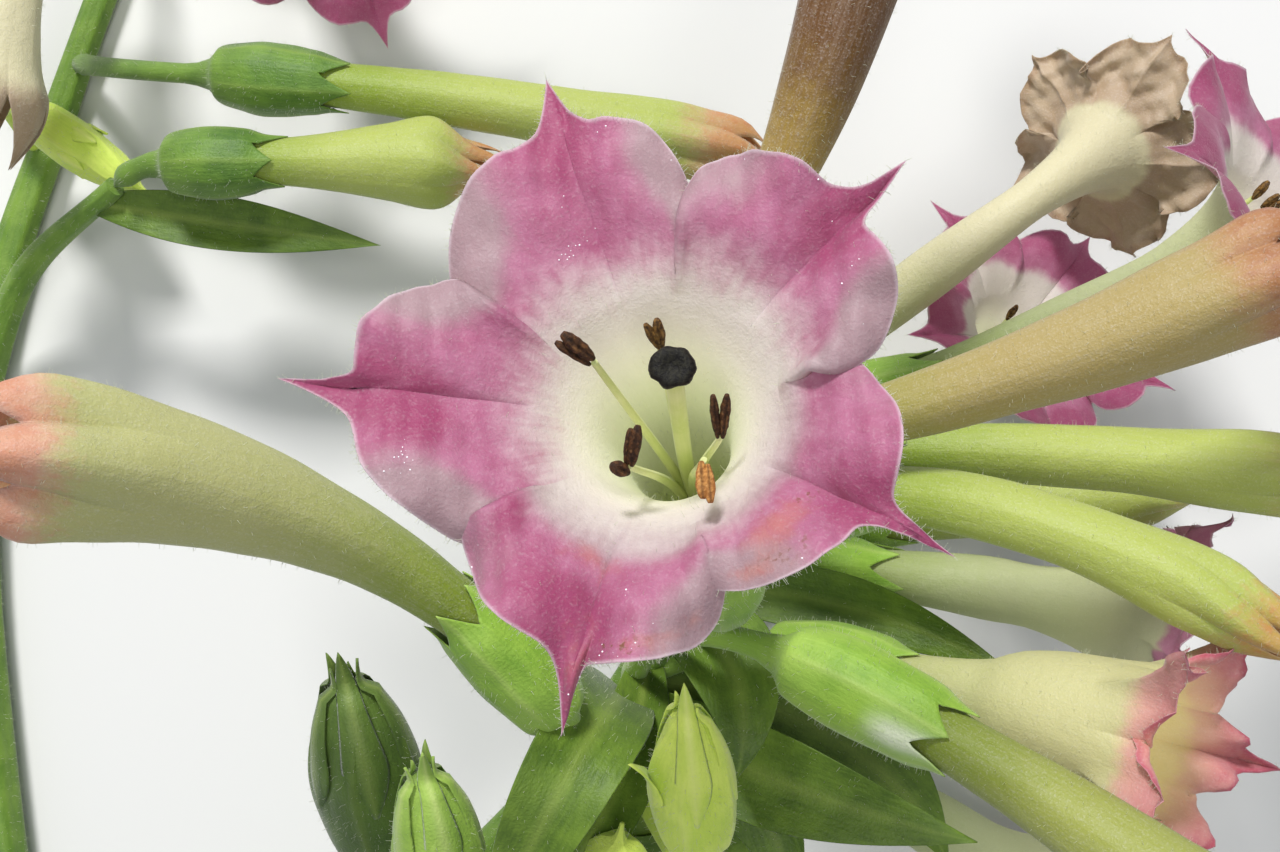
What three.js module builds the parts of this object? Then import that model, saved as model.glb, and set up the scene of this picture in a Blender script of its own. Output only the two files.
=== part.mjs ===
// A cut flowering branch of tobacco that lies on its back: stems, calyces, trumpet flowers, buds and bracts.
// Millimetres, +Z up. +Y runs from the cut end of the stem to its tip, and the main flower faces up.

import * as THREE from 'three';

const { lerp, degToRad, euclideanModulo } = THREE.MathUtils;

// Driving dimensions

const GAP = 0.3;                        // clearance between pieces that grow from each other
const ORIGIN_SHIFT = at(5.7, 21.6, 0);  // moves the middle of the footprint to the origin

const STEM_SIDES = 8;
const STEM_STEP = 16;                   // length of stem between two sections
const STEM_RADII = {                    // at the foot and at the tip
  main_stem: [3.8, 1.6],
  cluster_branch: [3.1, 1.9],
  back_twig: [1.9, 1.2],
  left_twig: [1.9, 1.2],
};

const PEDICEL_RADIUS = 1.1;
const FLOWER_SIDES = 8;
const CALYX_LENGTH = 16;
const CALYX_RADIUS = 3.9;
const CALYX_FLOOR = 2.2;                // depth of solid tissue under the calyx bowl
const CALYX_WAIST = 0.5;                // part of the calyx's length where its bore has a section
const TUBE_RADIUS = 2.5;
const THROAT_RADIUS = 5.2;
const COROLLA_WALL = 0.7;
const COROLLA_SEAT = CALYX_FLOOR + GAP; // the foot of the corolla stands clear of the calyx bowl

const LOBE_COUNT = 5;
const LIMB_TIP = 19.8;                  // from the middle of an open limb to a lobe's tip
const LIMB_SHOULDER = 15.6;             // to the round part of a lobe
const MAIN_SHOULDER = 16.6;             // the same, on the main flower
const LIMB_NOTCH = 11.7;                // to the notch between two lobes
const LIMB_RISE = 3;                    // how far the limb's edge stands ahead of the throat
const LIMB_SECTION = [[0.4, 0.6], [1, 1]];   // part of the way out to the edge, part of the rise
const CUSP_SPREAD = 0.42;               // part of a half lobe that its cusp takes
const SHOULDER_POWER = 3.6;             // squareness of a lobe between shoulder and notch
const MAIN_STEPS_PER_LOBE = 10;
const STEPS_PER_LOBE = 4;

const BRACT_THICKNESS = 0.9;
const BRACT_STEPS = 5;

// Colours

const PINK = 0xd479b4;
const BROWN_PETAL = 0xb79a78;
const PALE_TUBE = 0xd5d8a4;
const TAN_TUBE = 0xd9bd93;
const CALYX_GREEN = 0x8cb044;
const STEM_GREEN = 0x6f9a3a;
const BRACT_GREEN = 0x4f7a2a;

const plant = new THREE.Group();

function at(x, y, z) {
  return new THREE.Vector3(x, y, z);
}

function add(name, geometry, color) {
  const mesh = new THREE.Mesh(geometry, new THREE.MeshStandardMaterial({ color, roughness: 0.6, metalness: 0 }));
  mesh.name = name;
  plant.add(mesh);
}

// A bent axis with sections that don't twist, set at its far end and carried back to its foot.
// It runs on straight past both ends.

const AXIS_SAMPLES = 120;

class BentAxis {
  constructor(curve, reference) {
    this.curve = curve;
    this.curve.arcLengthDivisions = 400;
    this.length = curve.getLength();
    this.acrosses = [];
    const end = curve.getTangentAt(1);
    let across = reference ?? at(0, 0, 1).cross(end);
    for (let k = AXIS_SAMPLES; k >= 0; k--) {
      across = this.square(across, curve.getTangentAt(k / AXIS_SAMPLES));
      this.acrosses[k] = across;
    }
  }

  static through(...points) {
    return new BentAxis(new THREE.CatmullRomCurve3(points, false, 'centripetal'));
  }

  square(across, along) {
    return across.clone().addScaledVector(along, -across.dot(along)).normalize();
  }

  section(s) {
    const u = THREE.MathUtils.clamp(s / this.length, 0, 1);
    const along = this.curve.getTangentAt(u);
    const centre = this.curve.getPointAt(u).addScaledVector(along, s - u * this.length);
    const across = this.square(this.acrosses[Math.round(u * AXIS_SAMPLES)], along);
    return { centre, along, across, up: along.clone().cross(across) };
  }

  ring(s, radii, angles) {
    const { centre, across, up } = this.section(s);
    return angles.map((angle, k) => centre.clone()
      .addScaledVector(across, radii[k] * Math.cos(angle))
      .addScaledVector(up, radii[k] * Math.sin(angle)));
  }
}

// Closed skins

function closedGeometry(points, triangles) {
  const geometry = new THREE.BufferGeometry();
  geometry.setAttribute('position', new THREE.Float32BufferAttribute(points.flatMap((p) => p.toArray()), 3));
  geometry.setIndex(triangles);
  return geometry;
}

function evenAngles(sides) {
  return Array.from({ length: sides }, (_, k) => (2 * Math.PI * k) / sides);
}

// A profile of [distance along the axis, radius], turned about a bent axis. It starts and ends on the axis.
// A third number in a ring is the part of the way from that radius out to the reach of each side.
function turned(axis, profile, angles, reach = []) {
  const sides = angles.length;
  const rings = profile.slice(1, -1);
  const points = [axis.section(profile[0][0]).centre];
  const triangles = [];
  for (const [s, radius, part = 0] of rings) {
    const radii = angles.map((_, k) => (part ? lerp(radius, reach[k], part) : radius));
    points.push(...axis.ring(s, radii, angles));
  }
  points.push(axis.section(profile.at(-1)[0]).centre);
  const last = points.length - 1;
  const topRing = last - sides;
  for (let k = 0; k < sides; k++) {
    const next = (k + 1) % sides;
    triangles.push(0, 1 + next, 1 + k);
    for (let lower = 1; lower < topRing; lower += sides) {
      const upper = lower + sides;
      triangles.push(lower + k, lower + next, upper + next);
      triangles.push(lower + k, upper + next, upper + k);
    }
    triangles.push(last, topRing + k, topRing + next);
  }
  return closedGeometry(points, triangles);
}

// Stems: each grows from a place on another, and starts where its own section is clear of that one's skin

const stems = {};

function stemRadius(name, u) {
  return lerp(...STEM_RADII[name], u);
}

function placeOn(name, u) {
  return stems[name].section(u * stems[name].length).centre;
}

function clearance(point, name) {
  const samples = Array.from({ length: AXIS_SAMPLES + 1 }, (_, k) => k / AXIS_SAMPLES);
  return Math.min(...samples.map((u) => placeOn(name, u).distanceTo(point) - stemRadius(name, u)));
}

function clearStart(axis, radius, carrier) {
  const angles = evenAngles(STEM_SIDES);
  const radii = angles.map(() => radius);
  let s = 0;
  while (axis.ring(s, radii, angles).some((point) => clearance(point, carrier) < GAP)) {
    s += GAP / 2;
  }
  return s;
}

function addStem(name, carrier, axis) {
  stems[name] = axis;
  const start = carrier ? clearStart(axis, stemRadius(name, 0), carrier) : 0;
  const steps = Math.ceil(axis.length / STEM_STEP);
  const profile = [[start, 0]];
  for (let k = 0; k <= steps; k++) {
    profile.push([lerp(start, axis.length, k / steps), stemRadius(name, k / steps)]);
  }
  profile.push([axis.length, 0]);
  add(name, turned(axis, profile, evenAngles(STEM_SIDES)), STEM_GREEN);
}

addStem('main_stem', null, BentAxis.through(
  at(-57, -118, 3.8), at(-70, -78, 3.6), at(-77, -30, 3.2), at(-77, 8, 2.8), at(-68, 38, 2.3), at(-58, 66, 1.6)));
addStem('cluster_branch', 'main_stem', BentAxis.through(
  placeOn('main_stem', 0.215), at(-42, -66, 12), at(-17, -45, 31), at(-1, -25, 42), at(5, -12, 46)));
addStem('back_twig', 'cluster_branch', BentAxis.through(
  placeOn('cluster_branch', 0.8), at(3, -22, 28), at(7, -13, 21)));
addStem('left_twig', 'main_stem', BentAxis.through(
  placeOn('main_stem', 0.65), at(-70, 17, 10), at(-57, 26, 19)));

// The pedicel runs smoothly into what it carries: its curve meets the head's axis in the head's own direction
function headAxis(root, base, middle, mouth, reference, leadPart = 0.5) {
  const lead = base.clone().sub(middle).normalize().multiplyScalar(root.distanceTo(base) * leadPart);
  const path = new THREE.CurvePath();
  path.add(new THREE.QuadraticBezierCurve3(root, base.clone().add(lead), base));
  path.add(new THREE.QuadraticBezierCurve3(base, middle, mouth));
  const axis = new BentAxis(path, reference);
  axis.base = path.curves[0].getLength();
  return axis;
}

// Calyx: a bowl round the foot of the corolla, on its pedicel

function calyxGeometry(axis, carrier, length) {
  const start = clearStart(axis, PEDICEL_RADIUS, carrier);
  const alongBowl = (u) => axis.base + u * length;
  const bore = TUBE_RADIUS + GAP;
  const profile = [
    [start, 0],
    [start, PEDICEL_RADIUS],
    [lerp(start, axis.base, 0.55), PEDICEL_RADIUS],
    [axis.base, PEDICEL_RADIUS * 1.4],
    [alongBowl(0.12), CALYX_RADIUS * 0.8],
    [alongBowl(CALYX_WAIST), CALYX_RADIUS],
    [alongBowl(1), CALYX_RADIUS * 0.9],
    [alongBowl(1), bore],
    [alongBowl(CALYX_WAIST), bore],
    [axis.base + CALYX_FLOOR, bore],
    [axis.base + CALYX_FLOOR, 0]];
  return turned(axis, profile, evenAngles(FLOWER_SIDES));
}

// The foot of every corolla has its sections where its calyx has them, so the two stay the same distance apart
function tubeFoot(axis, calyxLength) {
  return [
    [axis.base + COROLLA_SEAT, 0],
    [axis.base + COROLLA_SEAT, TUBE_RADIUS],
    [axis.base + calyxLength * CALYX_WAIST, TUBE_RADIUS],
    [axis.base + calyxLength, TUBE_RADIUS]];
}

// Limb outlines: lobe tips and the notches between them, anticlockwise, as angle in degrees and radius

const MAIN_TIPS = [[40, 20.7], [107, 22.5], [175.4, 22.8], [255, 20.6], [329.6, 20.4]];
const MAIN_NOTCHES = [[8, 11.3], [79.5, 12.9], [147.3, 14.6], [215.2, 13.6], [288.8, 12.2]];

function lobeReach(offset, tip, shoulder, notch) {
  const body = shoulder - (shoulder - notch) * offset ** SHOULDER_POWER;
  const cusp = (tip - shoulder) * Math.max(0, 1 - offset / CUSP_SPREAD) ** 2;
  return body + cusp;
}

function limbOutline(tips, notches, shoulder, stepsPerLobe) {
  const angles = [];
  const reach = [];
  const half = stepsPerLobe / 2;
  tips.forEach(([tipAngle, tip], lobe) => {
    const [before, notchBefore] = notches[lobe];
    const [after, notchAfter] = notches[(lobe + 1) % LOBE_COUNT];
    const rise = euclideanModulo(tipAngle - before, 360);
    const fall = euclideanModulo(after - tipAngle, 360);
    for (let k = 0; k < stepsPerLobe; k++) {
      const beforeTip = k < half;
      const offset = Math.abs(1 - k / half);
      const angle = beforeTip ? tipAngle - rise * offset : tipAngle + fall * offset;
      angles.push(degToRad(angle));
      reach.push(lobeReach(offset, tip, shoulder, beforeTip ? notchBefore : notchAfter));
    }
  });
  return { angles, reach };
}

function evenLimb(scale, turn) {
  const step = 360 / LOBE_COUNT;
  const tips = Array.from({ length: LOBE_COUNT }, (_, k) => [turn + k * step, LIMB_TIP * scale]);
  const notches = tips.map(([angle]) => [angle - step / 2, LIMB_NOTCH * scale]);
  return limbOutline(tips, notches, LIMB_SHOULDER * scale, STEPS_PER_LOBE);
}

const mainLimb = limbOutline(MAIN_TIPS, MAIN_NOTCHES, MAIN_SHOULDER, MAIN_STEPS_PER_LOBE);

// Open corolla: the skin runs up the outer wall, over the limb's edge, and down the inner wall
function openCorolla(axis, { angles, reach }, throatRadius, calyxLength) {
  const calyxEnd = axis.base + calyxLength;
  const throat = axis.length - LIMB_RISE;
  const swelling = lerp(calyxEnd, throat, 0.6);
  const profile = [...tubeFoot(axis, calyxLength), [swelling, throatRadius * 0.84], [throat, throatRadius]];
  for (const [part, lift] of LIMB_SECTION) {
    profile.push([throat + LIMB_RISE * lift, throatRadius, part]);
  }
  for (const [part, lift] of LIMB_SECTION.toReversed()) {
    profile.push([throat + LIMB_RISE * lift + COROLLA_WALL, throatRadius - COROLLA_WALL * (1 - part), part]);
  }
  profile.push(
    [throat, throatRadius - COROLLA_WALL],
    [swelling, throatRadius * 0.84 - COROLLA_WALL],
    [calyxEnd + 2, TUBE_RADIUS - COROLLA_WALL],
    [calyxEnd + 1, 0]);
  return turned(axis, profile, angles, reach);
}

// Closed corolla: a long bud, or a flower whose mouth has drawn together, as a solid trumpet
function closedCorolla(axis, { throat = THROAT_RADIUS, mouth = 2.5, tip = 5 }, calyxLength) {
  const alongTube = (u) => lerp(axis.base + calyxLength, axis.length, u);
  const profile = [...tubeFoot(axis, calyxLength), [alongTube(0.5), throat * 0.8], [alongTube(0.8), throat],
    [axis.length, mouth], [axis.length + tip, mouth * 0.5], [axis.length + tip, 0]];
  return turned(axis, profile, evenAngles(FLOWER_SIDES));
}

// Flowers: the stem and the place on it that the pedicel grows from, then the trumpet's base, bend and mouth

const FLOWERS = {
  main: {
    on: ['cluster_branch', 0.93], base: at(6.9, -15, 61), middle: at(5.5, -6.5, 78), mouth: at(0.5, 1.8, 106),
    limb: mainLimb, reference: at(1, 0, 0), color: PINK,
  },
  left: {
    on: ['cluster_branch', 0.8], base: at(-6.7, -25, 61), middle: at(-19, -5, 70), mouth: at(-45, -1.8, 87),
    closed: { throat: 5.4, mouth: 4.9, tip: 5 }, leadPart: 0.2, color: PALE_TUBE,
  },
  low_right: {
    on: ['cluster_branch', 0.87], base: at(11.7, -19, 64), middle: at(28, -25, 72), mouth: at(46.7, -39.4, 90),
    closed: { throat: 4.2, mouth: 3.5 }, calyxLength: 18, color: PALE_TUBE,
  },
  curled: {
    on: ['cluster_branch', 0.88], base: at(12, -21, 47), middle: at(28, -22.5, 60), mouth: at(43.3, -25.6, 73),
    limb: evenLimb(0.46, 50), throat: 5.4, color: PINK,
  },
  edge_on: {
    on: ['cluster_branch', 0.92], base: at(9, -14.5, 38), middle: at(28, -13, 38), mouth: at(50, -19.5, 42),
    limb: evenLimb(0.7, 100), color: PINK,
  },
  long_bud: {
    on: ['cluster_branch', 0.965], base: at(11, -9.5, 48), middle: at(22, 0, 62), mouth: at(50, -16, 72),
    closed: { throat: 3.4, mouth: 2.2, tip: 4 }, color: PALE_TUBE,
  },
  pale_right: {
    on: ['cluster_branch', 0.99], base: at(10, -3, 38), middle: at(30, -1, 45), mouth: at(63, -5, 52),
    closed: { throat: 3.7, mouth: 3 }, color: PALE_TUBE,
  },
  young: {
    on: ['back_twig', 0.65], base: at(12, -11, 29), middle: at(30, -9, 32), mouth: at(54, -6.2, 33),
    closed: { throat: 3.8, mouth: 2, tip: 3 }, color: PALE_TUBE,
  },
  tan: {
    on: ['cluster_branch', 1], base: at(5.5, -2, 54), middle: at(24, 0, 64), mouth: at(51, 12.7, 72),
    closed: { throat: 4.5, mouth: 4.4, tip: 4 }, color: TAN_TUBE,
  },
  dried: {
    on: ['cluster_branch', 0.97], base: at(-2, -2, 58), middle: at(15, 19, 62), mouth: at(20, 48, 66),
    closed: { throat: 3.4, mouth: 4, tip: 5 }, calyxLength: 14, color: BROWN_PETAL,
  },
  high_right: {
    on: ['back_twig', 0.95], base: at(17, 1, 28), middle: at(38, 5.8, 38), mouth: at(57, 19.4, 56),
    limb: evenLimb(0.95, 126), throat: 3.8, color: PINK,
  },
  brown: {
    on: ['back_twig', 1], base: at(10, 0, 12), middle: at(37, 22, 40), mouth: at(49.5, 29.5, 25),
    limb: evenLimb(0.58, 60), throat: 3.2, color: BROWN_PETAL,
  },
  behind: {
    on: ['back_twig', 0.85], base: at(14, -13, 8), middle: at(35, 2, 5), mouth: at(42.5, 11, 20),
    limb: evenLimb(0.72, 54), throat: 4, color: PINK,
  },
  back_low: {
    on: ['back_twig', 0.4], base: at(10, -29, 29), middle: at(28, -40, 22), mouth: at(47, -54, 10.4),
    limb: evenLimb(0.62, 30), color: PINK,
  },
  top_left: {
    on: ['main_stem', 0.87], base: at(-47, 38.5, 17), middle: at(-20, 36, 22), mouth: at(10.7, 29.5, 20),
    closed: { throat: 3.8, mouth: 3, tip: 3 }, color: PALE_TUBE,
  },
  left_bud: {
    on: ['left_twig', 1], base: at(-51, 28, 22), middle: at(-34, 28, 25), mouth: at(-18, 28, 22),
    closed: { throat: 4.8, mouth: 2.2, tip: 4 }, calyxLength: 13, color: PALE_TUBE,
  },
  withered_left: {
    on: ['main_stem', 0.95], base: at(-61, 62, 20), middle: at(-66, 48, 28), mouth: at(-67.5, 34, 26),
    closed: { throat: 4.4, mouth: 5.5, tip: 7 }, calyxLength: 12, color: BROWN_PETAL,
  },
  top: {
    on: ['main_stem', 1], base: at(-51, 72, 14), middle: at(-39, 68, 9), mouth: at(-32, 56.5, 24),
    limb: evenLimb(0.95, 41), calyxLength: 12, color: PINK,
  },
};

for (const [name, flower] of Object.entries(FLOWERS)) {
  const { on, base, middle, mouth, reference, limb, throat = THROAT_RADIUS, closed, color } = flower;
  const { calyxLength = CALYX_LENGTH, leadPart } = flower;
  const axis = headAxis(placeOn(...on), base, middle, mouth, reference, leadPart);
  const corolla = closed ? closedCorolla(axis, closed, calyxLength) : openCorolla(axis, limb, throat, calyxLength);
  add(`${name}_calyx`, calyxGeometry(axis, on[0], calyxLength), CALYX_GREEN);
  add(`${name}_corolla`, corolla, color);
}

// Buds and capsules still shut in their calyces: one solid each with their pedicel

const BUDS = {
  front_bud: { on: ['cluster_branch', 0.83], base: at(5, -36, 61), tip: at(3.5, -21, 74), radius: 3.6 },
  capsule_left: { on: ['cluster_branch', 0.55], base: at(-24, -42, 41), tip: at(-27, -21, 52), radius: 5.2 },
  withered_bud: { on: ['cluster_branch', 0.62], base: at(-17, -44, 52), tip: at(-18.5, -28, 62), radius: 4 },
  low_bud: { on: ['cluster_branch', 0.74], base: at(-4, -49, 52), tip: at(-2.5, -35, 62), radius: 3.6 },
  pale_bud: { on: ['main_stem', 0.81], base: at(-70, 36, 11), tip: at(-55, 26, 12), radius: 2.8 },
};

function budGeometry(axis, carrier, radius) {
  const start = clearStart(axis, PEDICEL_RADIUS, carrier);
  const alongBud = (u) => lerp(axis.base, axis.length, u);
  const profile = [[start, 0], [start, PEDICEL_RADIUS], [lerp(start, axis.base, 0.55), PEDICEL_RADIUS],
    [axis.base, PEDICEL_RADIUS * 1.4], [alongBud(0.15), radius * 0.85], [alongBud(0.4), radius],
    [alongBud(0.65), radius * 0.82], [alongBud(0.85), radius * 0.42], [axis.length, 0]];
  return turned(axis, profile, evenAngles(FLOWER_SIDES));
}

for (const [name, { on, base, tip, radius }] of Object.entries(BUDS)) {
  const axis = headAxis(placeOn(...on), base, base.clone().lerp(tip, 0.5), tip);
  add(name, budGeometry(axis, on[0], radius), CALYX_GREEN);
}

// Bracts: thin pointed blades, widest near the middle

const BRACTS = {
  bract_front: { on: ['cluster_branch', 0.7], middle: at(4, -52, 34), tip: at(15, -30, 42), width: 8 },
  bract_right: { on: ['cluster_branch', 0.855], middle: at(10, -33, 50), tip: at(30, -37, 54), width: 9 },
  bract_left: { on: ['left_twig', 0.9], middle: at(-46, 22, 18), tip: at(-28, 19.5, 20), width: 6 },
};

function bractGeometry({ on, middle, tip, width }) {
  const axis = new BentAxis(new THREE.QuadraticBezierCurve3(placeOn(...on), middle, tip));
  const start = clearStart(axis, PEDICEL_RADIUS, on[0]);
  const thick = BRACT_THICKNESS / 2;
  const points = [];
  const triangles = [];
  for (let k = 0; k <= BRACT_STEPS; k++) {
    const u = k / BRACT_STEPS;
    const half = Math.max(thick, (width / 2) * Math.sin(Math.PI * (0.12 + 0.88 * u) ** 0.9));
    const { centre, across, up } = axis.section(lerp(start, axis.length, u));
    for (const [side, rise] of [[-1, -1], [1, -1], [1, 1], [-1, 1]]) {
      points.push(centre.clone().addScaledVector(across, side * half).addScaledVector(up, rise * thick));
    }
  }
  for (let k = 0; k < BRACT_STEPS; k++) {
    for (let j = 0; j < 4; j++) {
      const a = 4 * k + j;
      const b = 4 * k + ((j + 1) % 4);
      triangles.push(a, b, b + 4, a, b + 4, a + 4);
    }
  }
  const end = 4 * BRACT_STEPS;
  triangles.push(0, 2, 1, 0, 3, 2, end, end + 1, end + 2, end, end + 2, end + 3);
  return closedGeometry(points, triangles);
}

for (const [name, bract] of Object.entries(BRACTS)) {
  add(name, bractGeometry(bract), BRACT_GREEN);
}

plant.position.copy(ORIGIN_SHIFT);

export default plant;
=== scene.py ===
import math

import bpy
import numpy as np
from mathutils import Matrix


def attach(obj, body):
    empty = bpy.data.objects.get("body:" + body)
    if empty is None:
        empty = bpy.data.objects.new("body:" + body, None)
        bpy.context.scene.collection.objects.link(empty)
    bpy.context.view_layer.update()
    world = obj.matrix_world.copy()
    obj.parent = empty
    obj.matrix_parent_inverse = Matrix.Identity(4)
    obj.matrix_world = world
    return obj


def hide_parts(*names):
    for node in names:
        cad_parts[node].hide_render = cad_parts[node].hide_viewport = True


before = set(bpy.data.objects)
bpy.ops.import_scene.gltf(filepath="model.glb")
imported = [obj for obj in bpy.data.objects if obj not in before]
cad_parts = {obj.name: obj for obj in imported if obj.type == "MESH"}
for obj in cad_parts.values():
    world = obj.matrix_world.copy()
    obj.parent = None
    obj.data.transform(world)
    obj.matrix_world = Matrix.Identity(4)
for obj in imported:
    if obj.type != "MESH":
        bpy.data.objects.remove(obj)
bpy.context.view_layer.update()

# Sizes, in millimetres, and places, in the frame in which the branch was laid out
MM = 0.001
ORIGIN_SHIFT = np.array([5.7, 21.6, 0.0])
EYE_HEIGHT = 212
MAIN_FLOWER_HEIGHT = 80

STEM_RADII = {
    "main_stem": (3.8, 1.6),
    "cluster_branch": (3.1, 1.9),
    "back_twig": (1.9, 1.2),
    "left_twig": (1.9, 1.2),
}
STEM_RIB_DEPTH = 0.035
PEDICEL_RADIUS = 1.1
CALYX_LENGTH = 16
CALYX_RADIUS = 3.9
COROLLA_SEAT = 2.5
TUBE_RADIUS = 2.5
THROAT_RADIUS = 5.2
LOBE_COUNT = 5
LIMB_TIP = 19.8
LIMB_SHOULDER = 15.6
LIMB_NOTCH = 11.7
LIMB_RISE = 3
PETAL_THICKNESS = 0.3
EDGE_THICKNESS = 0.07
CALYX_THICKNESS = 0.55
BRACT_THICKNESS = 0.5
RIM_FUZZ = 50


def unit(vectors):
    return vectors / np.linalg.norm(vectors, axis=-1, keepdims=True)


def smooth(value, low, high):
    part = np.clip((value - low) / (high - low), 0, 1)
    return part * part * (3 - 2 * part)


def blend(low, high, part):
    return low + (high - low) * part


def peak(value, width):
    """A bell curve: 1 where the value is 0, and gone a few widths away."""
    return np.exp(-(value / width) ** 2)


def flat_place(radius, angle, s):
    """A skin's points as if its axis were straight, so that its bend leaves a pattern as it is."""
    return np.stack(np.broadcast_arrays(radius * np.cos(angle), radius * np.sin(angle), s), -1)


def round_angles(count):
    return np.linspace(0, 2 * math.pi, count, endpoint=False)


def ripple(points, size, seed, waves=7):
    """A soft unevenness between about -1 and 1, from a few waves that cross each other."""
    draw = np.random.default_rng(seed)
    total = np.zeros(points.shape[:-1])
    for wave in range(waves):
        direction = unit(draw.normal(size=3))
        length = size * draw.uniform(0.6, 1.6)
        total += np.sin(points @ direction * (2 * math.pi / length) + draw.uniform(0, 2 * math.pi))
    return total / math.sqrt(2 * waves)


# Lines

def bezier(start, middle, end, steps=80):
    t = np.linspace(0, 1, steps + 1)[:, None]
    return (1 - t) ** 2 * start + 2 * t * (1 - t) * middle + t * t * end


def smooth_line(points, steps=60):
    """A smooth line through the points, without loops where they stand unevenly."""
    points = np.array(points, float)
    points = [2 * points[0] - points[1], *points, 2 * points[-1] - points[-2]]
    t = np.linspace(0, 1, steps + 1)[:, None]
    spans = []
    for a, b, c, d in zip(points, points[1:], points[2:], points[3:]):
        before, span, after = (math.sqrt(np.linalg.norm(q - p)) for p, q in ((a, b), (b, c), (c, d)))
        leave = ((b - a) / before - (c - a) / (before + span) + (c - b) / span) * span
        arrive = ((c - b) / span - (d - b) / (span + after) + (d - c) / after) * span
        cubic = 2 * b - 2 * c + leave + arrive
        square = 3 * c - 3 * b - 2 * leave - arrive
        spans.append(((cubic * t + square) * t + leave) * t + b)
    return np.concatenate([spans[0], *[span[1:] for span in spans[1:]]])


class Axis:
    """A bent line whose sections don't twist. It runs on straight past both ends."""

    SAMPLES = 400

    def __init__(self, points, reference=None):
        steps = np.linalg.norm(np.diff(points, axis=0), axis=1)
        way = np.concatenate([[0], np.cumsum(steps)])
        self.length = way[-1]
        self.s = np.linspace(0, self.length, self.SAMPLES + 1)
        self.centres = np.stack([np.interp(self.s, way, points[:, k]) for k in range(3)], -1)
        self.alongs = unit(np.gradient(self.centres, axis=0))
        across = np.cross((0, 0, 1), self.alongs[-1]) if reference is None else np.array(reference, float)
        self.acrosses = np.zeros_like(self.centres)
        for k in range(self.SAMPLES, -1, -1):
            across = unit(across - across @ self.alongs[k] * self.alongs[k])
            self.acrosses[k] = across

    def look_up(self, table, s):
        return np.stack([np.interp(s, self.s, table[:, k]) for k in range(3)], -1)

    def section(self, s):
        s = np.asarray(s, float)
        held = np.clip(s, 0, self.length)
        along = unit(self.look_up(self.alongs, held))
        centre = self.look_up(self.centres, held) + along * (s - held)[..., None]
        across = self.look_up(self.acrosses, held)
        across = unit(across - (across * along).sum(-1, keepdims=True) * along)
        return centre, along, across, np.cross(along, across)

    def points(self, s, x, y):
        """Points at x and y in the sections at s."""
        centre, _, across, up = self.section(s)
        return centre + across * x[..., None] + up * y[..., None]

    def ring(self, s, radius, angle):
        s, radius, angle = np.broadcast_arrays(s, radius, angle)
        return self.points(s, radius * np.cos(angle), radius * np.sin(angle))


def head_axis(root, base, middle, mouth, reference=None, lead_part=0.5):
    """The pedicel from root to base, and the trumpet from there to its mouth, as one axis."""
    base, middle, mouth = np.array((base, middle, mouth), float)
    lead = base + unit(base - middle) * np.linalg.norm(root - base) * lead_part
    stalk = bezier(root, lead, base)
    axis = Axis(np.concatenate([stalk, bezier(base, middle, mouth)[1:]]), reference)
    axis.base = np.linalg.norm(np.diff(stalk, axis=0), axis=1).sum()
    return axis


# Skins

def finish_piece(piece, nodes=()):
    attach(piece, "root")
    if nodes:
        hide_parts(*nodes)
    return piece


def linked(name, data):
    item = bpy.data.objects.new(name, data)
    bpy.context.scene.collection.objects.link(item)
    return item


def store(mesh, key, values):
    kind, field = ("FLOAT_VECTOR", "vector") if key == "grain" else ("FLOAT", "value")
    mesh.attributes.new(key, kind, "POINT").data.foreach_set(field, values.reshape(-1))


def skin_faces(rows, sides, first):
    """Quads between rows that run round an axis, and a fan over each end, from the vertex numbered first."""
    near, far = first + rows * sides, first + rows * sides + 1
    column = np.arange(sides) + first
    following = (np.arange(sides) + 1) % sides + first
    lower = (np.arange(rows - 1) * sides)[:, None]
    upper = lower + sides
    quads = np.stack([lower + column, lower + following, upper + following, upper + column], -1)
    last = (rows - 1) * sides
    fans = np.concatenate([
        np.stack([np.full(sides, near), following, column], -1),
        np.stack([np.full(sides, far), last + column, last + following], -1)])
    corners = np.concatenate([quads.reshape(-1), fans.reshape(-1)])
    return corners, np.concatenate([np.full(quads.size // 4, 4), np.full(len(fans), 3)])


def with_ends(table):
    """Rows of values and, after them, the mean of the first row and of the last."""
    size = table.shape[2:]
    return np.concatenate([table.reshape(-1, *size), table[:1].mean(1), table[-1:].mean(1)])


def closed_skins(name, skins, material):
    """One mesh of closed skins, each made of points in rows round an axis, and of values at those points."""
    first = 0
    places, corners, counts, kept = [], [], [], {}
    for points, values in skins:
        rows, sides = points.shape[:2]
        skin_corners, skin_counts = skin_faces(rows, sides, first)
        corners.append(skin_corners)
        counts.append(skin_counts)
        places.append(with_ends(points))
        first += len(places[-1])
        for key, value in values.items():
            size = value.shape[2:] if key == "grain" else ()
            kept.setdefault(key, []).append(with_ends(np.broadcast_to(value, (rows, sides, *size))))
    places, corners, counts = (np.concatenate(table) for table in (places, corners, counts))
    mesh = bpy.data.meshes.new(name)
    mesh.vertices.add(len(places))
    mesh.vertices.foreach_set("co", ((places + ORIGIN_SHIFT) * MM).reshape(-1))
    mesh.loops.add(len(corners))
    mesh.loops.foreach_set("vertex_index", corners)
    mesh.polygons.add(len(counts))
    mesh.polygons.foreach_set("loop_start", np.concatenate([[0], np.cumsum(counts)[:-1]]))
    mesh.polygons.foreach_set("use_smooth", np.ones(len(counts), bool))
    mesh.update(calc_edges=True)
    for key, tables in kept.items():
        store(mesh, key, np.concatenate(tables))
    mesh.materials.append(material)
    return linked(name, mesh)


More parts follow.
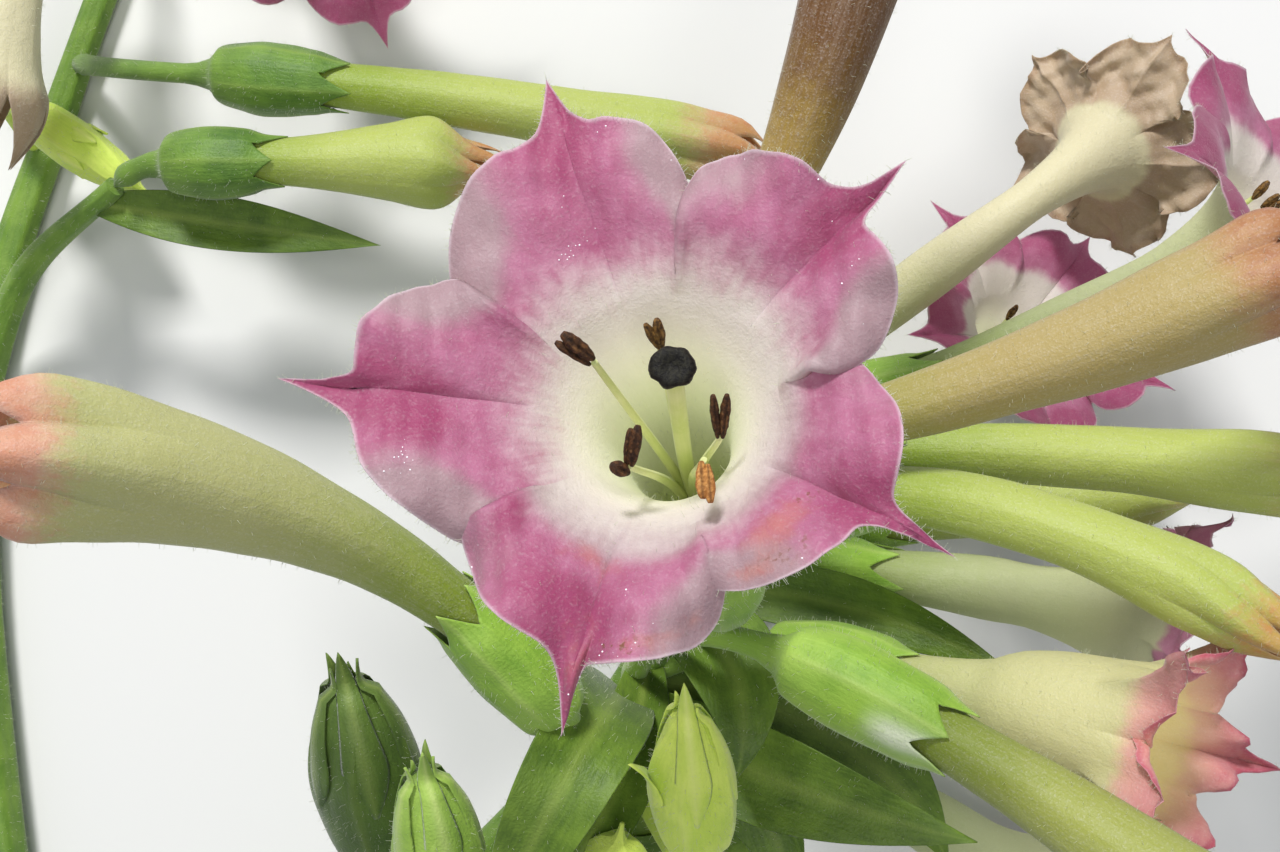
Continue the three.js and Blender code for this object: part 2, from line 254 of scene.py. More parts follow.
def with_inside(points, thickness):
    """Rows up the outside of a thin wall to its edge, and back down its inside."""
    around = np.roll(points, -1, 1) - np.roll(points, 1, 1)
    normal = np.cross(around, np.gradient(points, axis=0))
    normal /= np.linalg.norm(normal, axis=-1, keepdims=True) + 1e-9
    thickness = np.broadcast_to(thickness, points.shape[:2])
    return np.concatenate([points, (points - normal * thickness[..., None])[::-1]])


def twice(value, shape):
    """Values for the outside of a thin wall, and the same back down its inside."""
    value = np.broadcast_to(value, shape)
    return np.concatenate([value, value[::-1]])


def grain_of(s, angle, turns, pace):
    """Unbent coordinates for streaks along an axis: they change fast round it and slowly along it."""
    s, angle = np.broadcast_arrays(s, angle)
    return np.stack([np.cos(angle) * turns, np.sin(angle) * turns, s * pace], -1)


def profile(s, knots):
    """A smooth line through knots of [s, radius]."""
    line = smooth_line([(*knot, 0) for knot in knots], 24)
    return np.interp(s, line[:, 0], line[:, 1])


# Shader nodes

def colour(red, green, blue):
    """A screen colour of 0 to 255 as the light that it stands for."""
    parts = np.array([red, green, blue]) / 255
    light = np.where(parts <= 0.04045, parts / 12.92, ((parts + 0.055) / 1.055) ** 2.4)
    return (*light.tolist(), 1.0)


class Wiring:
    """Short calls for the nodes of one tree."""

    def __init__(self, tree):
        self.tree = tree

    def add(self, kind, inputs=None, **settings):
        node = self.tree.nodes.new(kind)
        for key, value in settings.items():
            setattr(node, key, value)
        for key, value in (inputs or {}).items():
            if isinstance(value, bpy.types.NodeSocket):
                self.tree.links.new(value, node.inputs[key])
            else:
                node.inputs[key].default_value = value
        return node

    def math(self, operation, *values, clamp=False):
        node = self.add("ShaderNodeMath", dict(enumerate(values)), operation=operation, use_clamp=clamp)
        return node.outputs[0]

    def times(self, a, b):
        return self.math("MULTIPLY", a, b)

    def plus(self, first, *others):
        for other in others:
            first = self.math("ADD", first, other)
        return first

    def over(self, base, tint, mask, share):
        """The base, with that share of the tint over it where the mask says."""
        return self.mix(self.math("MULTIPLY", mask, share, clamp=True), base, tint)

    def mix(self, factor, a, b, blend_type="MIX"):
        node = self.add("ShaderNodeMix", {0: factor, 6: a, 7: b}, data_type="RGBA", blend_type=blend_type)
        return node.outputs[2]

    def step(self, value, low, high):
        node = self.add("ShaderNodeMapRange", {0: value, 1: low, 2: high}, interpolation_type="SMOOTHSTEP")
        return node.outputs[0]

    def noise(self, vector, scale, detail=3.0, roughness=0.55):
        node = self.add("ShaderNodeTexNoise", {
            "Vector": vector, "Scale": scale, "Detail": detail, "Roughness": roughness})
        return node.outputs[0]

    def attribute(self, name, output="Fac"):
        return self.add("ShaderNodeAttribute", attribute_name=name).outputs[output]

    def place(self):
        return self.add("ShaderNodeTexCoord").outputs["Object"]

    def tissue(self, streaks, blotches, cells):
        inputs = {"Streaks": streaks, "Blotches": blotches, "Cells": cells}
        return self.add("ShaderNodeGroup", inputs, node_tree=TISSUE).outputs[:3]

    def geometry(self, kind, inputs=None, **settings):
        return self.add("GeometryNode" + kind, inputs, **settings).outputs[0]

    def named(self, name, kind="FLOAT"):
        return self.geometry("InputNamedAttribute", {"Name": name}, data_type=kind)

    def stored(self, geometry, name, value, kind="FLOAT"):
        inputs = {"Geometry": geometry, "Name": name, "Value": value}
        return self.geometry("StoreNamedAttribute", inputs, data_type=kind, domain="POINT")

    def finished(self, geometry, given, result):
        """The tree, after its geometry is shaded smooth, made real and given its material."""
        geometry = self.geometry("SetShadeSmooth", {"Geometry": geometry})
        geometry = self.geometry("RealizeInstances", {"Geometry": geometry})
        geometry = self.geometry("SetMaterial", {"Geometry": geometry, "Material": given["Material"]})
        self.tree.links.new(geometry, result["Geometry"])
        return self.tree


def node_tree(kind, name, inputs, outputs):
    """A tree's wiring and its two ends' sockets. Each is listed with its first value, or its kind."""
    tree = bpy.data.node_groups.new(name, kind)
    for way, sockets in (("INPUT", inputs), ("OUTPUT", outputs)):
        for key, value in sockets.items():
            socket_kind = value if isinstance(value, str) else type(value).__name__.capitalize()
            socket = tree.interface.new_socket(key, in_out=way, socket_type="NodeSocket" + socket_kind)
            if socket_kind != value:
                socket.default_value = value
    w = Wiring(tree)
    return w, w.add("NodeGroupInput").outputs, w.add("NodeGroupOutput").inputs


def geometry_tree(name, inputs):
    inputs = {"Geometry": "Geometry"} | inputs | {"Material": "Material"}
    return node_tree("GeometryNodeTree", name, inputs, {"Geometry": "Geometry"})


def tissue_group():
    """Living tissue: fine streaks along the piece, blotches, and the small cells, used for relief and for
    painted glints of the light they catch.
    """
    w, given, result = node_tree(
        "ShaderNodeTree", "tissue", {"Streaks": 3.0, "Blotches": 250.0, "Cells": 4000.0},
        {"Streak": "Float", "Blotch": "Float", "Cell": "Float"})
    w.tree.links.new(w.noise(w.attribute("grain", "Vector"), given["Streaks"], 4.0), result["Streak"])
    w.tree.links.new(w.noise(w.place(), given["Blotches"], 4.0), result["Blotch"])
    w.tree.links.new(w.noise(w.place(), given["Cells"], 2.0), result["Cell"])
    return w.tree


TISSUE = tissue_group()


def start_material(name):
    material = bpy.data.materials.new(name)
    material.use_nodes = True
    material.node_tree.nodes.clear()
    w = Wiring(material.node_tree)
    w.material = material
    return w


def end_material(w, tint, height, bump, roughness, sheen=0.0, through=None, through_part=0.0,
                 specular=0.4, painted_light=None, painted_glow=0.0):
    """A surface with relief. Light through it takes the colour through, and a painted glow, where given,
    shines of itself.
    """
    relief = w.add("ShaderNodeBump", {"Strength": 1.0, "Distance": bump * MM, "Height": height})
    surface = w.add("ShaderNodeBsdfPrincipled", {
        "Base Color": tint, "Roughness": roughness, "Specular IOR Level": specular,
        "Sheen Weight": sheen, "Sheen Roughness": 0.4, "Normal": relief.outputs[0]})
    if painted_light is not None:
        w.tree.links.new(painted_light, surface.inputs["Emission Color"])
        surface.inputs["Emission Strength"].default_value = painted_glow
    shader = surface.outputs[0]
    if through is not None:
        passed = w.add("ShaderNodeBsdfTranslucent", {"Color": through, "Normal": relief.outputs[0]})
        shader = w.add("ShaderNodeMixShader", {0: through_part, 1: shader, 2: passed.outputs[0]}).outputs[0]
    w.add("ShaderNodeOutputMaterial", {0: shader})
    return w.material


SPECK_TINT = colour(142, 88, 52)
MEMBRANE_TINT = colour(226, 234, 200)
PALE_VEIN = colour(255, 245, 250)
# The tint of the painted glints on a petal's small cells.
CELL_GLINT_TINT = colour(255, 250, 250)
WHITE = colour(255, 255, 255)


def petal_material(name, through_part=0.4, painted_glow=0.0, turn=(0.1, 0.75), **tints):
    """Petal tissue, tinted by where on the corolla it lies: the masks come with the mesh."""
    w = start_material(name)
    look = {key: colour(*tint) for key, tint in tints.items()}
    heart, blush, deep, stain, foot = (look[key] for key in ("heart", "blush", "deep", "stain", "tube_foot"))
    streak, blotch, cell = w.tissue(2.2, 330.0, 5200.0)
    mottle = w.noise(w.place(), 1100.0, 3.0)
    uneven = w.plus(w.times(streak, 0.32), w.times(blotch, 0.42), w.times(mottle, 0.26), -0.5)

    def mask(key, spread, low=0.12, high=0.9):
        return w.step(w.plus(w.attribute(key), w.times(uneven, spread)), low, high)

    inside = w.attribute("inside")
    way = w.plus(w.attribute("way"), w.times(uneven, 0.5))
    wall = w.over(w.mix(w.step(way, *turn), foot, look["tube"]), foot, w.step(streak, 0.4, 0.7), 0.1)
    inner = w.mix(w.step(w.attribute("way"), 0.66, 1.0), look.get("heart_foot", heart), heart)
    wall = w.mix(inside, wall, w.mix(w.attribute("halo"), inner, look["halo"]))
    pink = w.mix(w.step(w.plus(uneven, 0.5), 0.4, 0.62), blush, w.mix(0.5, blush, deep))
    pink = w.over(pink, deep, mask("band", 0.9), 0.75)
    pink = w.over(pink, look["faded"], mask("fade", 0.8), 0.85)
    pink = w.over(pink, look["back"], w.math("SUBTRACT", 1.0, inside), 0.45)
    tint = w.mix(mask("blush", 1.1, 0.12, 0.88), wall, pink)
    tint = w.over(tint, stain, mask("stain", 1.6, 0.15), 0.6)
    stain_spots = w.times(w.attribute("stain"), w.step(mottle, 0.54, 0.64))
    tint = w.over(tint, w.mix(0.5, stain, deep), stain_spots, 0.5)
    specks = w.times(w.attribute("speck"), w.step(w.noise(w.place(), 2100.0, 2.0), 0.55, 0.66))
    tint = w.over(tint, SPECK_TINT, specks, 0.8)
    # Painted highlight along the petal's edge.
    tint = w.over(tint, look["rim"], w.attribute("rim"), 0.7)
    tint = w.over(tint, PALE_VEIN, w.step(streak, 0.42, 0.62), 0.04)
    # Painted glints: the small cells are lightened as if they caught the light.
    pale = w.over(tint, CELL_GLINT_TINT, w.step(cell, 0.5, 0.75), 0.16)
    height = w.plus(w.times(streak, 0.14), w.times(cell, 0.3), w.times(mottle, 0.6))
    # Painted glow: the throat shines of itself, standing in for light that comes through its thin walls.
    painted_light = w.mix(w.attribute("painted_glow"), (0, 0, 0, 1), heart) if painted_glow else None
    through = w.mix(0.2, tint, WHITE)
    return end_material(w, pale, height, 0.16, 0.5, 0.25, through, through_part, painted_light=painted_light, painted_glow=painted_glow)


def green_material(name, light, dark, pale, through_part=0.15, bump=0.18):
    """Leafy tissue with streaks along the piece, paler on ribs and young parts."""
    w = start_material(name)
    light, dark, pale = (colour(*tint) for tint in (light, dark, pale))
    streak, blotch, cell = w.tissue(3.4, 260.0, 3600.0)
    uneven = w.plus(w.times(streak, 0.3), w.times(blotch, 0.7))
    tint = w.mix(w.attribute("pale"), w.mix(w.step(uneven, 0.3, 0.7), dark, light), pale)
    tint = w.mix(w.attribute("membrane"), tint, MEMBRANE_TINT)
    # Painted glints: the small cells are lightened as if they caught the light.
    tint = w.over(tint, light, w.step(cell, 0.5, 0.7), 0.2)
    height = w.plus(w.times(streak, 0.4), w.times(cell, 0.4))
    return end_material(w, tint, height, bump, 0.5, 0.25, tint, through_part)


# Each finish's rim colour is a painted highlight along the petals' edges.
PETALS = {
    "fresh": petal_material(
        "petal_pink", heart=(238, 239, 212), heart_foot=(198, 206, 122), halo=(240, 228, 227),
        tube=(206, 210, 168), tube_foot=(166, 186, 90), blush=(204, 130, 164), deep=(175, 64, 114),
        faded=(189, 166, 168), stain=(218, 140, 118), rim=(240, 226, 232), back=(198, 154, 172),
        # The throat's painted glow, standing in for light through the tube.
        through_part=0.5, painted_glow=0.45),
    # The pale finish is painted a little lighter, as painted light for the flowers in shade that wear it.
    "pale": petal_material(
        "petal_pale", heart=(222, 222, 170), halo=(222, 214, 170), tube=(186, 198, 98),
        tube_foot=(144, 168, 48), blush=(214, 172, 128), deep=(206, 120, 92), faded=(218, 200, 156),
        stain=(210, 146, 66), rim=(222, 200, 166), back=(214, 184, 140), through_part=0.3),
    # A darker copy of the pale finish: painted shade for the lit flower in front.
    "olive": petal_material(
        "petal_olive", heart=(222, 222, 170), halo=(222, 214, 170), tube=(164, 170, 82),
        tube_foot=(132, 152, 44), blush=(206, 170, 124), deep=(196, 120, 88), faded=(210, 196, 150),
        stain=(206, 146, 66), rim=(214, 196, 160), back=(206, 180, 136), through_part=0.3),
    "cream": petal_material(
        "petal_cream", heart=(224, 222, 150), halo=(226, 208, 160), tube=(190, 190, 128),
        tube_foot=(138, 158, 46), blush=(228, 190, 166), deep=(218, 156, 138), faded=(226, 198, 172),
        stain=(200, 124, 78), rim=(236, 212, 204), back=(222, 180, 152), through_part=0.3, turn=(0.15, 0.95)),
    "lips": petal_material(
        "petal_lips", heart=(236, 232, 164), heart_foot=(226, 224, 146), halo=(232, 208, 156),
        tube=(210, 208, 158), tube_foot=(176, 188, 100), blush=(216, 148, 146), deep=(190, 68, 104),
        faded=(226, 180, 164), stain=(206, 112, 86), rim=(232, 186, 192), back=(222, 166, 158),
        # A painted glow inside the lips, standing in for light through the tube.
        through_part=0.35, painted_glow=0.3),
    "tan": petal_material(
        "petal_tan", heart=(204, 186, 130), halo=(200, 176, 120), tube=(180, 160, 100),
        tube_foot=(160, 154, 72), blush=(192, 144, 96), deep=(170, 102, 58), faded=(196, 164, 120),
        stain=(158, 92, 44), rim=(192, 134, 92), back=(190, 146, 100), through_part=0.25),
    "brown": petal_material(
        "petal_brown", heart=(214, 206, 150), halo=(206, 186, 150), tube=(222, 214, 176),
        tube_foot=(190, 192, 112), blush=(196, 172, 142), deep=(166, 134, 100), faded=(206, 188, 160),
        stain=(156, 118, 80), rim=(196, 172, 140), back=(190, 166, 136), through_part=0.25),
    "dried": petal_material(
        "petal_dried", heart=(140, 96, 48), halo=(140, 96, 48), tube=(104, 68, 30), tube_foot=(170, 142, 66),
        blush=(110, 70, 32), deep=(82, 48, 20), faded=(146, 104, 60), stain=(92, 56, 24), rim=(130, 90, 50),
        back=(108, 68, 32), through_part=0.15, turn=(0.55, 0.95)),
}
GREENS = {
    "stem": green_material("stem_green", (128, 160, 62), (92, 128, 40), (176, 192, 116)),
    "calyx": green_material("calyx_green", (158, 194, 74), (124, 166, 52), (198, 214, 130)),
    "calyx_dark": green_material("calyx_dark", (112, 148, 52), (70, 108, 32), (160, 182, 90)),
    # The buds' own yellow-green, painted lighter as painted light for the front bud in the main flower's
    # shade.
    "bud": green_material("bud_green", (226, 244, 104), (196, 224, 68), (238, 244, 146)),
    "capsule": green_material("capsule_green", (88, 116, 44), (58, 86, 28), (134, 152, 72)),
    "bract": green_material("bract_green", (112, 140, 44), (74, 102, 24), (160, 178, 84)),
    "filament": green_material("filament", (236, 238, 182), (214, 224, 140), (240, 242, 196),
                               bump=0.03, through_part=0.3),
}


# Stems

STEMS = {"main_stem": Axis(smooth_line([
    (-57, -118, 3.8), (-70, -78, 3.6), (-77, -30, 3.2), (-77, 8, 2.8), (-68, 38, 2.3), (-58, 66, 1.6)]))}


def place_on(stem, part):
    return STEMS[stem].section(part * STEMS[stem].length)[0]


def root_of(spec):
    """Where a pedicel or a leaf grows from its stem."""
    return place_on(spec.get("stem", "cluster_branch"), spec["part"])


STEMS["cluster_branch"] = Axis(smooth_line([
    place_on("main_stem", 0.215), (-42, -66, 12), (-17, -45, 31), (-1, -25, 42), (5, -12, 46)]))
STEMS["back_twig"] = Axis(smooth_line([place_on("cluster_branch", 0.8), (3, -22, 28), (7, -13, 21)]))
STEMS["left_twig"] = Axis(smooth_line([place_on("main_stem", 0.65), (-70, 17, 10), (-57, 26, 19)]))


# Geometry Nodes: stalks swept along a line, and hairs and droplets scattered over a skin

def stalk_tree():
    """A ribbed stalk along a curve, as thick as the curve's own radius."""
    w, given, result = geometry_tree("stalk", {"Sides": 40, "Ribs": 7, "Rib Depth": STEM_RIB_DEPTH})
    ring = w.geometry("CurvePrimitiveCircle", {"Resolution": given["Sides"], "Radius": 1.0})
    turn = w.times(w.add("GeometryNodeSplineParameter").outputs["Factor"], 2 * math.pi)
    wave = w.times(w.math("COSINE", w.times(turn, given["Ribs"])), given["Rib Depth"])
    where = w.geometry("InputPosition")
    push = w.add("ShaderNodeVectorMath", {0: where, "Scale": wave}, operation="SCALE").outputs[0]
    ring = w.geometry("SetPosition", {"Geometry": ring, "Offset": push})
    ring = w.stored(ring, "round", where, "FLOAT_VECTOR")
    length = w.add("GeometryNodeSplineParameter").outputs["Length"]
    swept = w.geometry("CurveToMesh", {
        "Curve": w.stored(given["Geometry"], "distance", length), "Profile Curve": ring,
        "Scale": w.geometry("InputRadius"), "Fill Caps": True})
    x, y, _ = w.add("ShaderNodeSeparateXYZ", {0: w.named("round", "FLOAT_VECTOR")}).outputs
    grain = w.add("ShaderNodeCombineXYZ", {0: x, 1: y, 2: w.times(w.named("distance"), 60.0)}).outputs[0]
    return w.finished(w.stored(swept, "grain", grain, "FLOAT_VECTOR"), given, result)


def scatter_tree(name, mask, inputs, make_shape):
    """Small shapes scattered over a skin, as thickly as its mask says."""
    w, given, result = geometry_tree(name, {"Density": 1e6, "Seed": 1} | inputs)
    seed = given["Seed"]
    thickly = w.times(w.named(mask), given["Density"])
    points = w.add("GeometryNodeDistributePointsOnFaces", {
        "Mesh": given["Geometry"], "Density": thickly, "Seed": seed}).outputs
    lean = w.add("FunctionNodeRandomValue", {
        "Min": (-0.45, -0.45, 0.0), "Max": (0.45, 0.45, 6.28), "Seed": seed}, data_type="FLOAT_VECTOR")
    tilt = w.add("FunctionNodeEulerToRotation", {0: lean.outputs[0]})
    turned = w.add("FunctionNodeRotateRotation", {
        "Rotation": points["Rotation"], "Rotate By": tilt.outputs[0]}, rotation_space="LOCAL")
    size = w.add("FunctionNodeRandomValue", {2: 0.4, 3: 1.25, "Seed": seed}, data_type="FLOAT")
    placed = w.geometry("InstanceOnPoints", {
        "Points": points[0], "Instance": make_shape(w, given), "Rotation": turned.outputs[0],
        "Scale": size.outputs[1]})
    return w.finished(placed, given, result)


def hair_shape(w, given):
    """A thin shaft with a small sticky head."""
    shaft = w.geometry("MeshCone", {
        "Vertices": 3, "Radius Top": w.times(given["Thickness"], 0.45), "Radius Bottom": given["Thickness"],
        "Depth": given["Length"]}, fill_type="NONE")
    bulb = w.geometry("MeshCone", {
        "Vertices": 4, "Radius Top": 0.0, "Radius Bottom": given["Head"],
        "Depth": w.times(given["Head"], 1.6)}, fill_type="NONE")
    lift = w.add("ShaderNodeCombineXYZ", {2: given["Length"]})
    raised = w.geometry("Transform", {"Geometry": bulb, "Translation": lift.outputs[0]})
    hair = w.add("GeometryNodeJoinGeometry", {0: shaft})
    w.tree.links.new(raised, hair.inputs[0])
    return hair.outputs[0]


def drop_shape(w, given):
    return w.geometry("MeshIcoSphere", {"Radius": given["Radius"], "Subdivisions": 1})


STALK = stalk_tree()
HAIRS = scatter_tree("hairs", "fuzz", {
    "Length": 0.4 * MM, "Thickness": 0.02 * MM, "Head": 0.04 * MM}, hair_shape)
DROPS = scatter_tree("drops", "wet", {"Radius": 0.1 * MM}, drop_shape)


def grow(name, source, tree, settings):
    """Runs a tree on a source object and returns what it makes as a plain mesh object."""
    modifier = source.modifiers.new(tree.name, "NODES")
    modifier.node_group = tree
    for item in tree.interface.items_tree:
        if item.in_out == "INPUT" and item.name in settings:
            modifier[item.identifier] = settings[item.name]
    evaluated = source.evaluated_get(bpy.context.evaluated_depsgraph_get())
    mesh = bpy.data.meshes.new_from_object(evaluated)
    source.modifiers.remove(modifier)
    mesh.name = name
    return linked(name, mesh)


def curve_object(lines):
    """Lines of points with radii, in millimetres, as one curve object."""
    curve = bpy.data.curves.new("lines", "CURVE")
    curve.dimensions = "3D"
    for points, radii in lines:
        spline = curve.splines.new("POLY")
        spline.points.add(len(points) - 1)
        placed = (np.asarray(points) + ORIGIN_SHIFT) * MM
        spline.points.foreach_set("co", np.column_stack([placed, np.ones(len(placed))]).reshape(-1))
        spline.points.foreach_set("radius", np.broadcast_to(np.asarray(radii) * MM, len(placed)))
    return linked("lines", curve)


def stalks(name, lines, material, sides=40, ribs=7, depth=STEM_RIB_DEPTH):
    source = curve_object(lines)
    settings = {"Sides": sides, "Ribs": ribs, "Rib Depth": depth, "Material": material}
    piece = grow(name, source, STALK, settings)
    bpy.data.objects.remove(source)
    for key, value in (("pale", 0.0), ("fuzz", 1.0)):
        store(piece.data, key, np.full(len(piece.data.vertices), value))
    return piece


def joined(name, pieces):
    mesh = pieces[0].data
    if len(pieces) > 1:
        with bpy.context.temp_override(active_object=pieces[0], selected_editable_objects=pieces):
            bpy.ops.object.join()
    pieces[0].name = mesh.name = name
    return pieces[0]


def scattered(name, sources, tree, settings):
    """What a tree scatters over copies of the sources, as one piece."""
    grown = []
    for source in sources:
        copy = source.copy()
        bpy.context.scene.collection.objects.link(copy)
        piece = grow(name, copy, tree, settings)
        bpy.data.objects.remove(copy)
        if len(piece.data.polygons):
            grown.append(piece)
        else:
            bpy.data.objects.remove(piece)
    return finish_piece(joined(name, grown))


def make_stem(name):
    axis = STEMS[name]
    s = np.linspace(0, axis.length, int(axis.length) + 2)
    radii = blend(*STEM_RADII[name], s / axis.length)
    swell = 1 + 0.05 * np.sin(s / 7.0) * np.sin(s / 23.0)
    piece = stalks(name + "_skin", [(axis.section(s)[0], radii * swell)], GREENS["stem"])
    return finish_piece(piece, [name])


STEM_SKINS = [make_stem(name) for name in STEMS]
GREEN_SKINS = []
PETAL_SKINS = []


# Limb outlines

MAIN_NOTCHES = [(8, 11.3), (79.5, 12.9), (147.3, 14.6), (215.2, 13.6), (288.8, 12.2)]
# Each lobe's tip angle and radius, and for the sides before and after it: shoulder, squareness, width of cusp
MAIN_LOBES = [
    (40, 20.7, (16.3, 6, 0.2), (16.5, 9, 0.36)),
    (107, 22.5, (18.4, 3.6, 0.36), (18.5, 3, 0.36)),
    (175.4, 22.8, (18.1, 4, 0.14), (18.2, 2.2, 0.35)),
    (255, 20.6, (16.0, 3, 0.3), (16.4, 4, 0.1)),
    (329.6, 20.4, (15.0, 2.6, 0.2), (15.8, 3, 0.18)),
]


def even_lobes(scale, turn, point=1.0, cusp=0.32):
    step = 360 / LOBE_COUNT
    side = (LIMB_SHOULDER * scale, 3.6, cusp)
    lobes = [(turn + k * step, LIMB_TIP * scale * point, side, side) for k in range(LOBE_COUNT)]
    notches = [(turn + (k - 0.5) * step, LIMB_NOTCH * scale) for k in range(LOBE_COUNT)]
    return lobes, notches


class Limb:
    """Columns round a limb: each has an angle, a reach, its lobe, and its place across it, -1 to 1."""

    def __init__(self, lobes, notches, per_lobe):
        even = np.arange(per_lobe) * 2 / per_lobe - 1
        side = even - 0.11 * np.sin(2 * math.pi * even)
        angles, reaches = [], []
        for k, (tip_angle, tip, before, after) in enumerate(lobes):
            rise = (tip_angle - notches[k][0]) % 360
            fall = (notches[(k + 1) % LOBE_COUNT][0] - tip_angle) % 360
            angles.append(tip_angle + side * np.where(side < 0, rise, fall))
            offset = np.abs(side)
            reach = np.zeros(per_lobe)
            for half, (shoulder, power, cusp), notch in (
                    (side < 0, before, notches[k][1]), (side >= 0, after, notches[(k + 1) % LOBE_COUNT][1])):
                body = shoulder - (shoulder - notch) * offset ** power
                point = (tip - shoulder) * np.clip(1 - offset / cusp, 0, 1) ** 4
                reach[half] = (body + point)[half]
            reaches.append(reach)
        self.side = np.tile(side, LOBE_COUNT)
        self.offset = np.abs(self.side)
        self.lobe = np.repeat(np.arange(LOBE_COUNT), per_lobe)
        self.angle = np.radians(np.concatenate(angles))
        self.reach = np.concatenate(reaches)
        self.cusp = np.clip(1 - self.offset / 0.2, 0, 1)

    def per_lobe(self, values, shift=0):
        """The columns' values, from one for each lobe or one for all, of their own lobe or one further on."""
        return np.broadcast_to(values, LOBE_COUNT)[(self.lobe + shift) % LOBE_COUNT]


# The heights and folds of a limb, for each lobe anticlockwise: how deep its midrib lies, how far its
# shoulders fall back and its tip curls up, and the overlap at the notch before it, in degrees and in height
MAIN_FORM = {
    "valley": (3.3, 1.9, 3.4, 3.2, 3.5),
    "fall": (2.2, 1.6, 2.4, 2.8, 2.2),
    "curl": (1.4, -0.6, 0.9, -1.2, -0.4),
    "lap_turn": (4.5, 1.2, 1.6, 3.2, 1.4),
    "lap_height": (0.6, -0.25, 0.3, 0.6, -0.25),
    "ruffle": 0.26,
    "crumple": 0.5,
    "crumple_size": 5,
}
EVEN_FORM = {
    "valley": 1.3, "fall": 1.0, "curl": (0.7, -0.5, 0.9, 0.2, -0.7), "lap_turn": 2.0,
    "lap_height": 0.3, "ruffle": 0.3, "crumple": 0.3, "crumple_size": 8,
}
WILTED_FORM = {
    "valley": 1.8, "fall": 2.2, "curl": (1.5, -1.5, 2.0, -1.0, 1.2), "lap_turn": 3.0,
    "lap_height": 0.5, "ruffle": 0.7, "crumple": 1.0, "crumple_size": 5,
}
LIPS_FORM = {
    "valley": 1.4, "fall": (1.6, 2.6, 1.2, 2.8, 2.0), "curl": (2.4, 3.4, 3.0, 2.4, 1.6),
    "lap_turn": 2.0, "lap_height": 0.3, "ruffle": 0.4, "crumple": 0.5, "crumple_size": 6,
}

PETAL_MASKS = ("way", "blush", "band", "fade", "stain", "speck", "rim", "wet", "painted_glow", "halo")
# How the tube widens before it turns into the limb: distance before the limb and share of the throat's radius
FLARE = ((10, 0.72), (7.5, 0.8), (5.5, 0.89), (3.8, 1.0), (2.4, 1.13), (1.3, 1.27), (0.5, 1.4), (0, 1.5))


def petal_values(shape, masks, fuzz, inner_fuzz, grain):
    """Values for both faces of a petal: masks alike on both, and fewer hairs on the inner face."""
    rows = shape[0]
    values = {key: twice(masks.get(key, 0.0), shape) for key in PETAL_MASKS}
    values["inside"] = np.concatenate([np.zeros(shape), np.ones(shape)])
    values["fuzz"] = twice(fuzz, shape)
    values["fuzz"][rows:] *= inner_fuzz
    # The painted glow is on the inner face only.
    values["painted_glow"][:rows] = 0
    values["grain"] = np.concatenate([grain, grain[::-1]])
    return values


def finish_petals(name, points, finish, values):
    piece = closed_skins(f"{name}_petals", [(points, values)], PETALS[finish])
    return finish_piece(piece, [f"{name}_corolla"])


def tube_foot(axis, calyx_end, tube=TUBE_RADIUS):
    foot = axis.base + COROLLA_SEAT
    return [[foot, tube - 0.5], [foot + 2, tube - 0.15], [calyx_end, tube]]


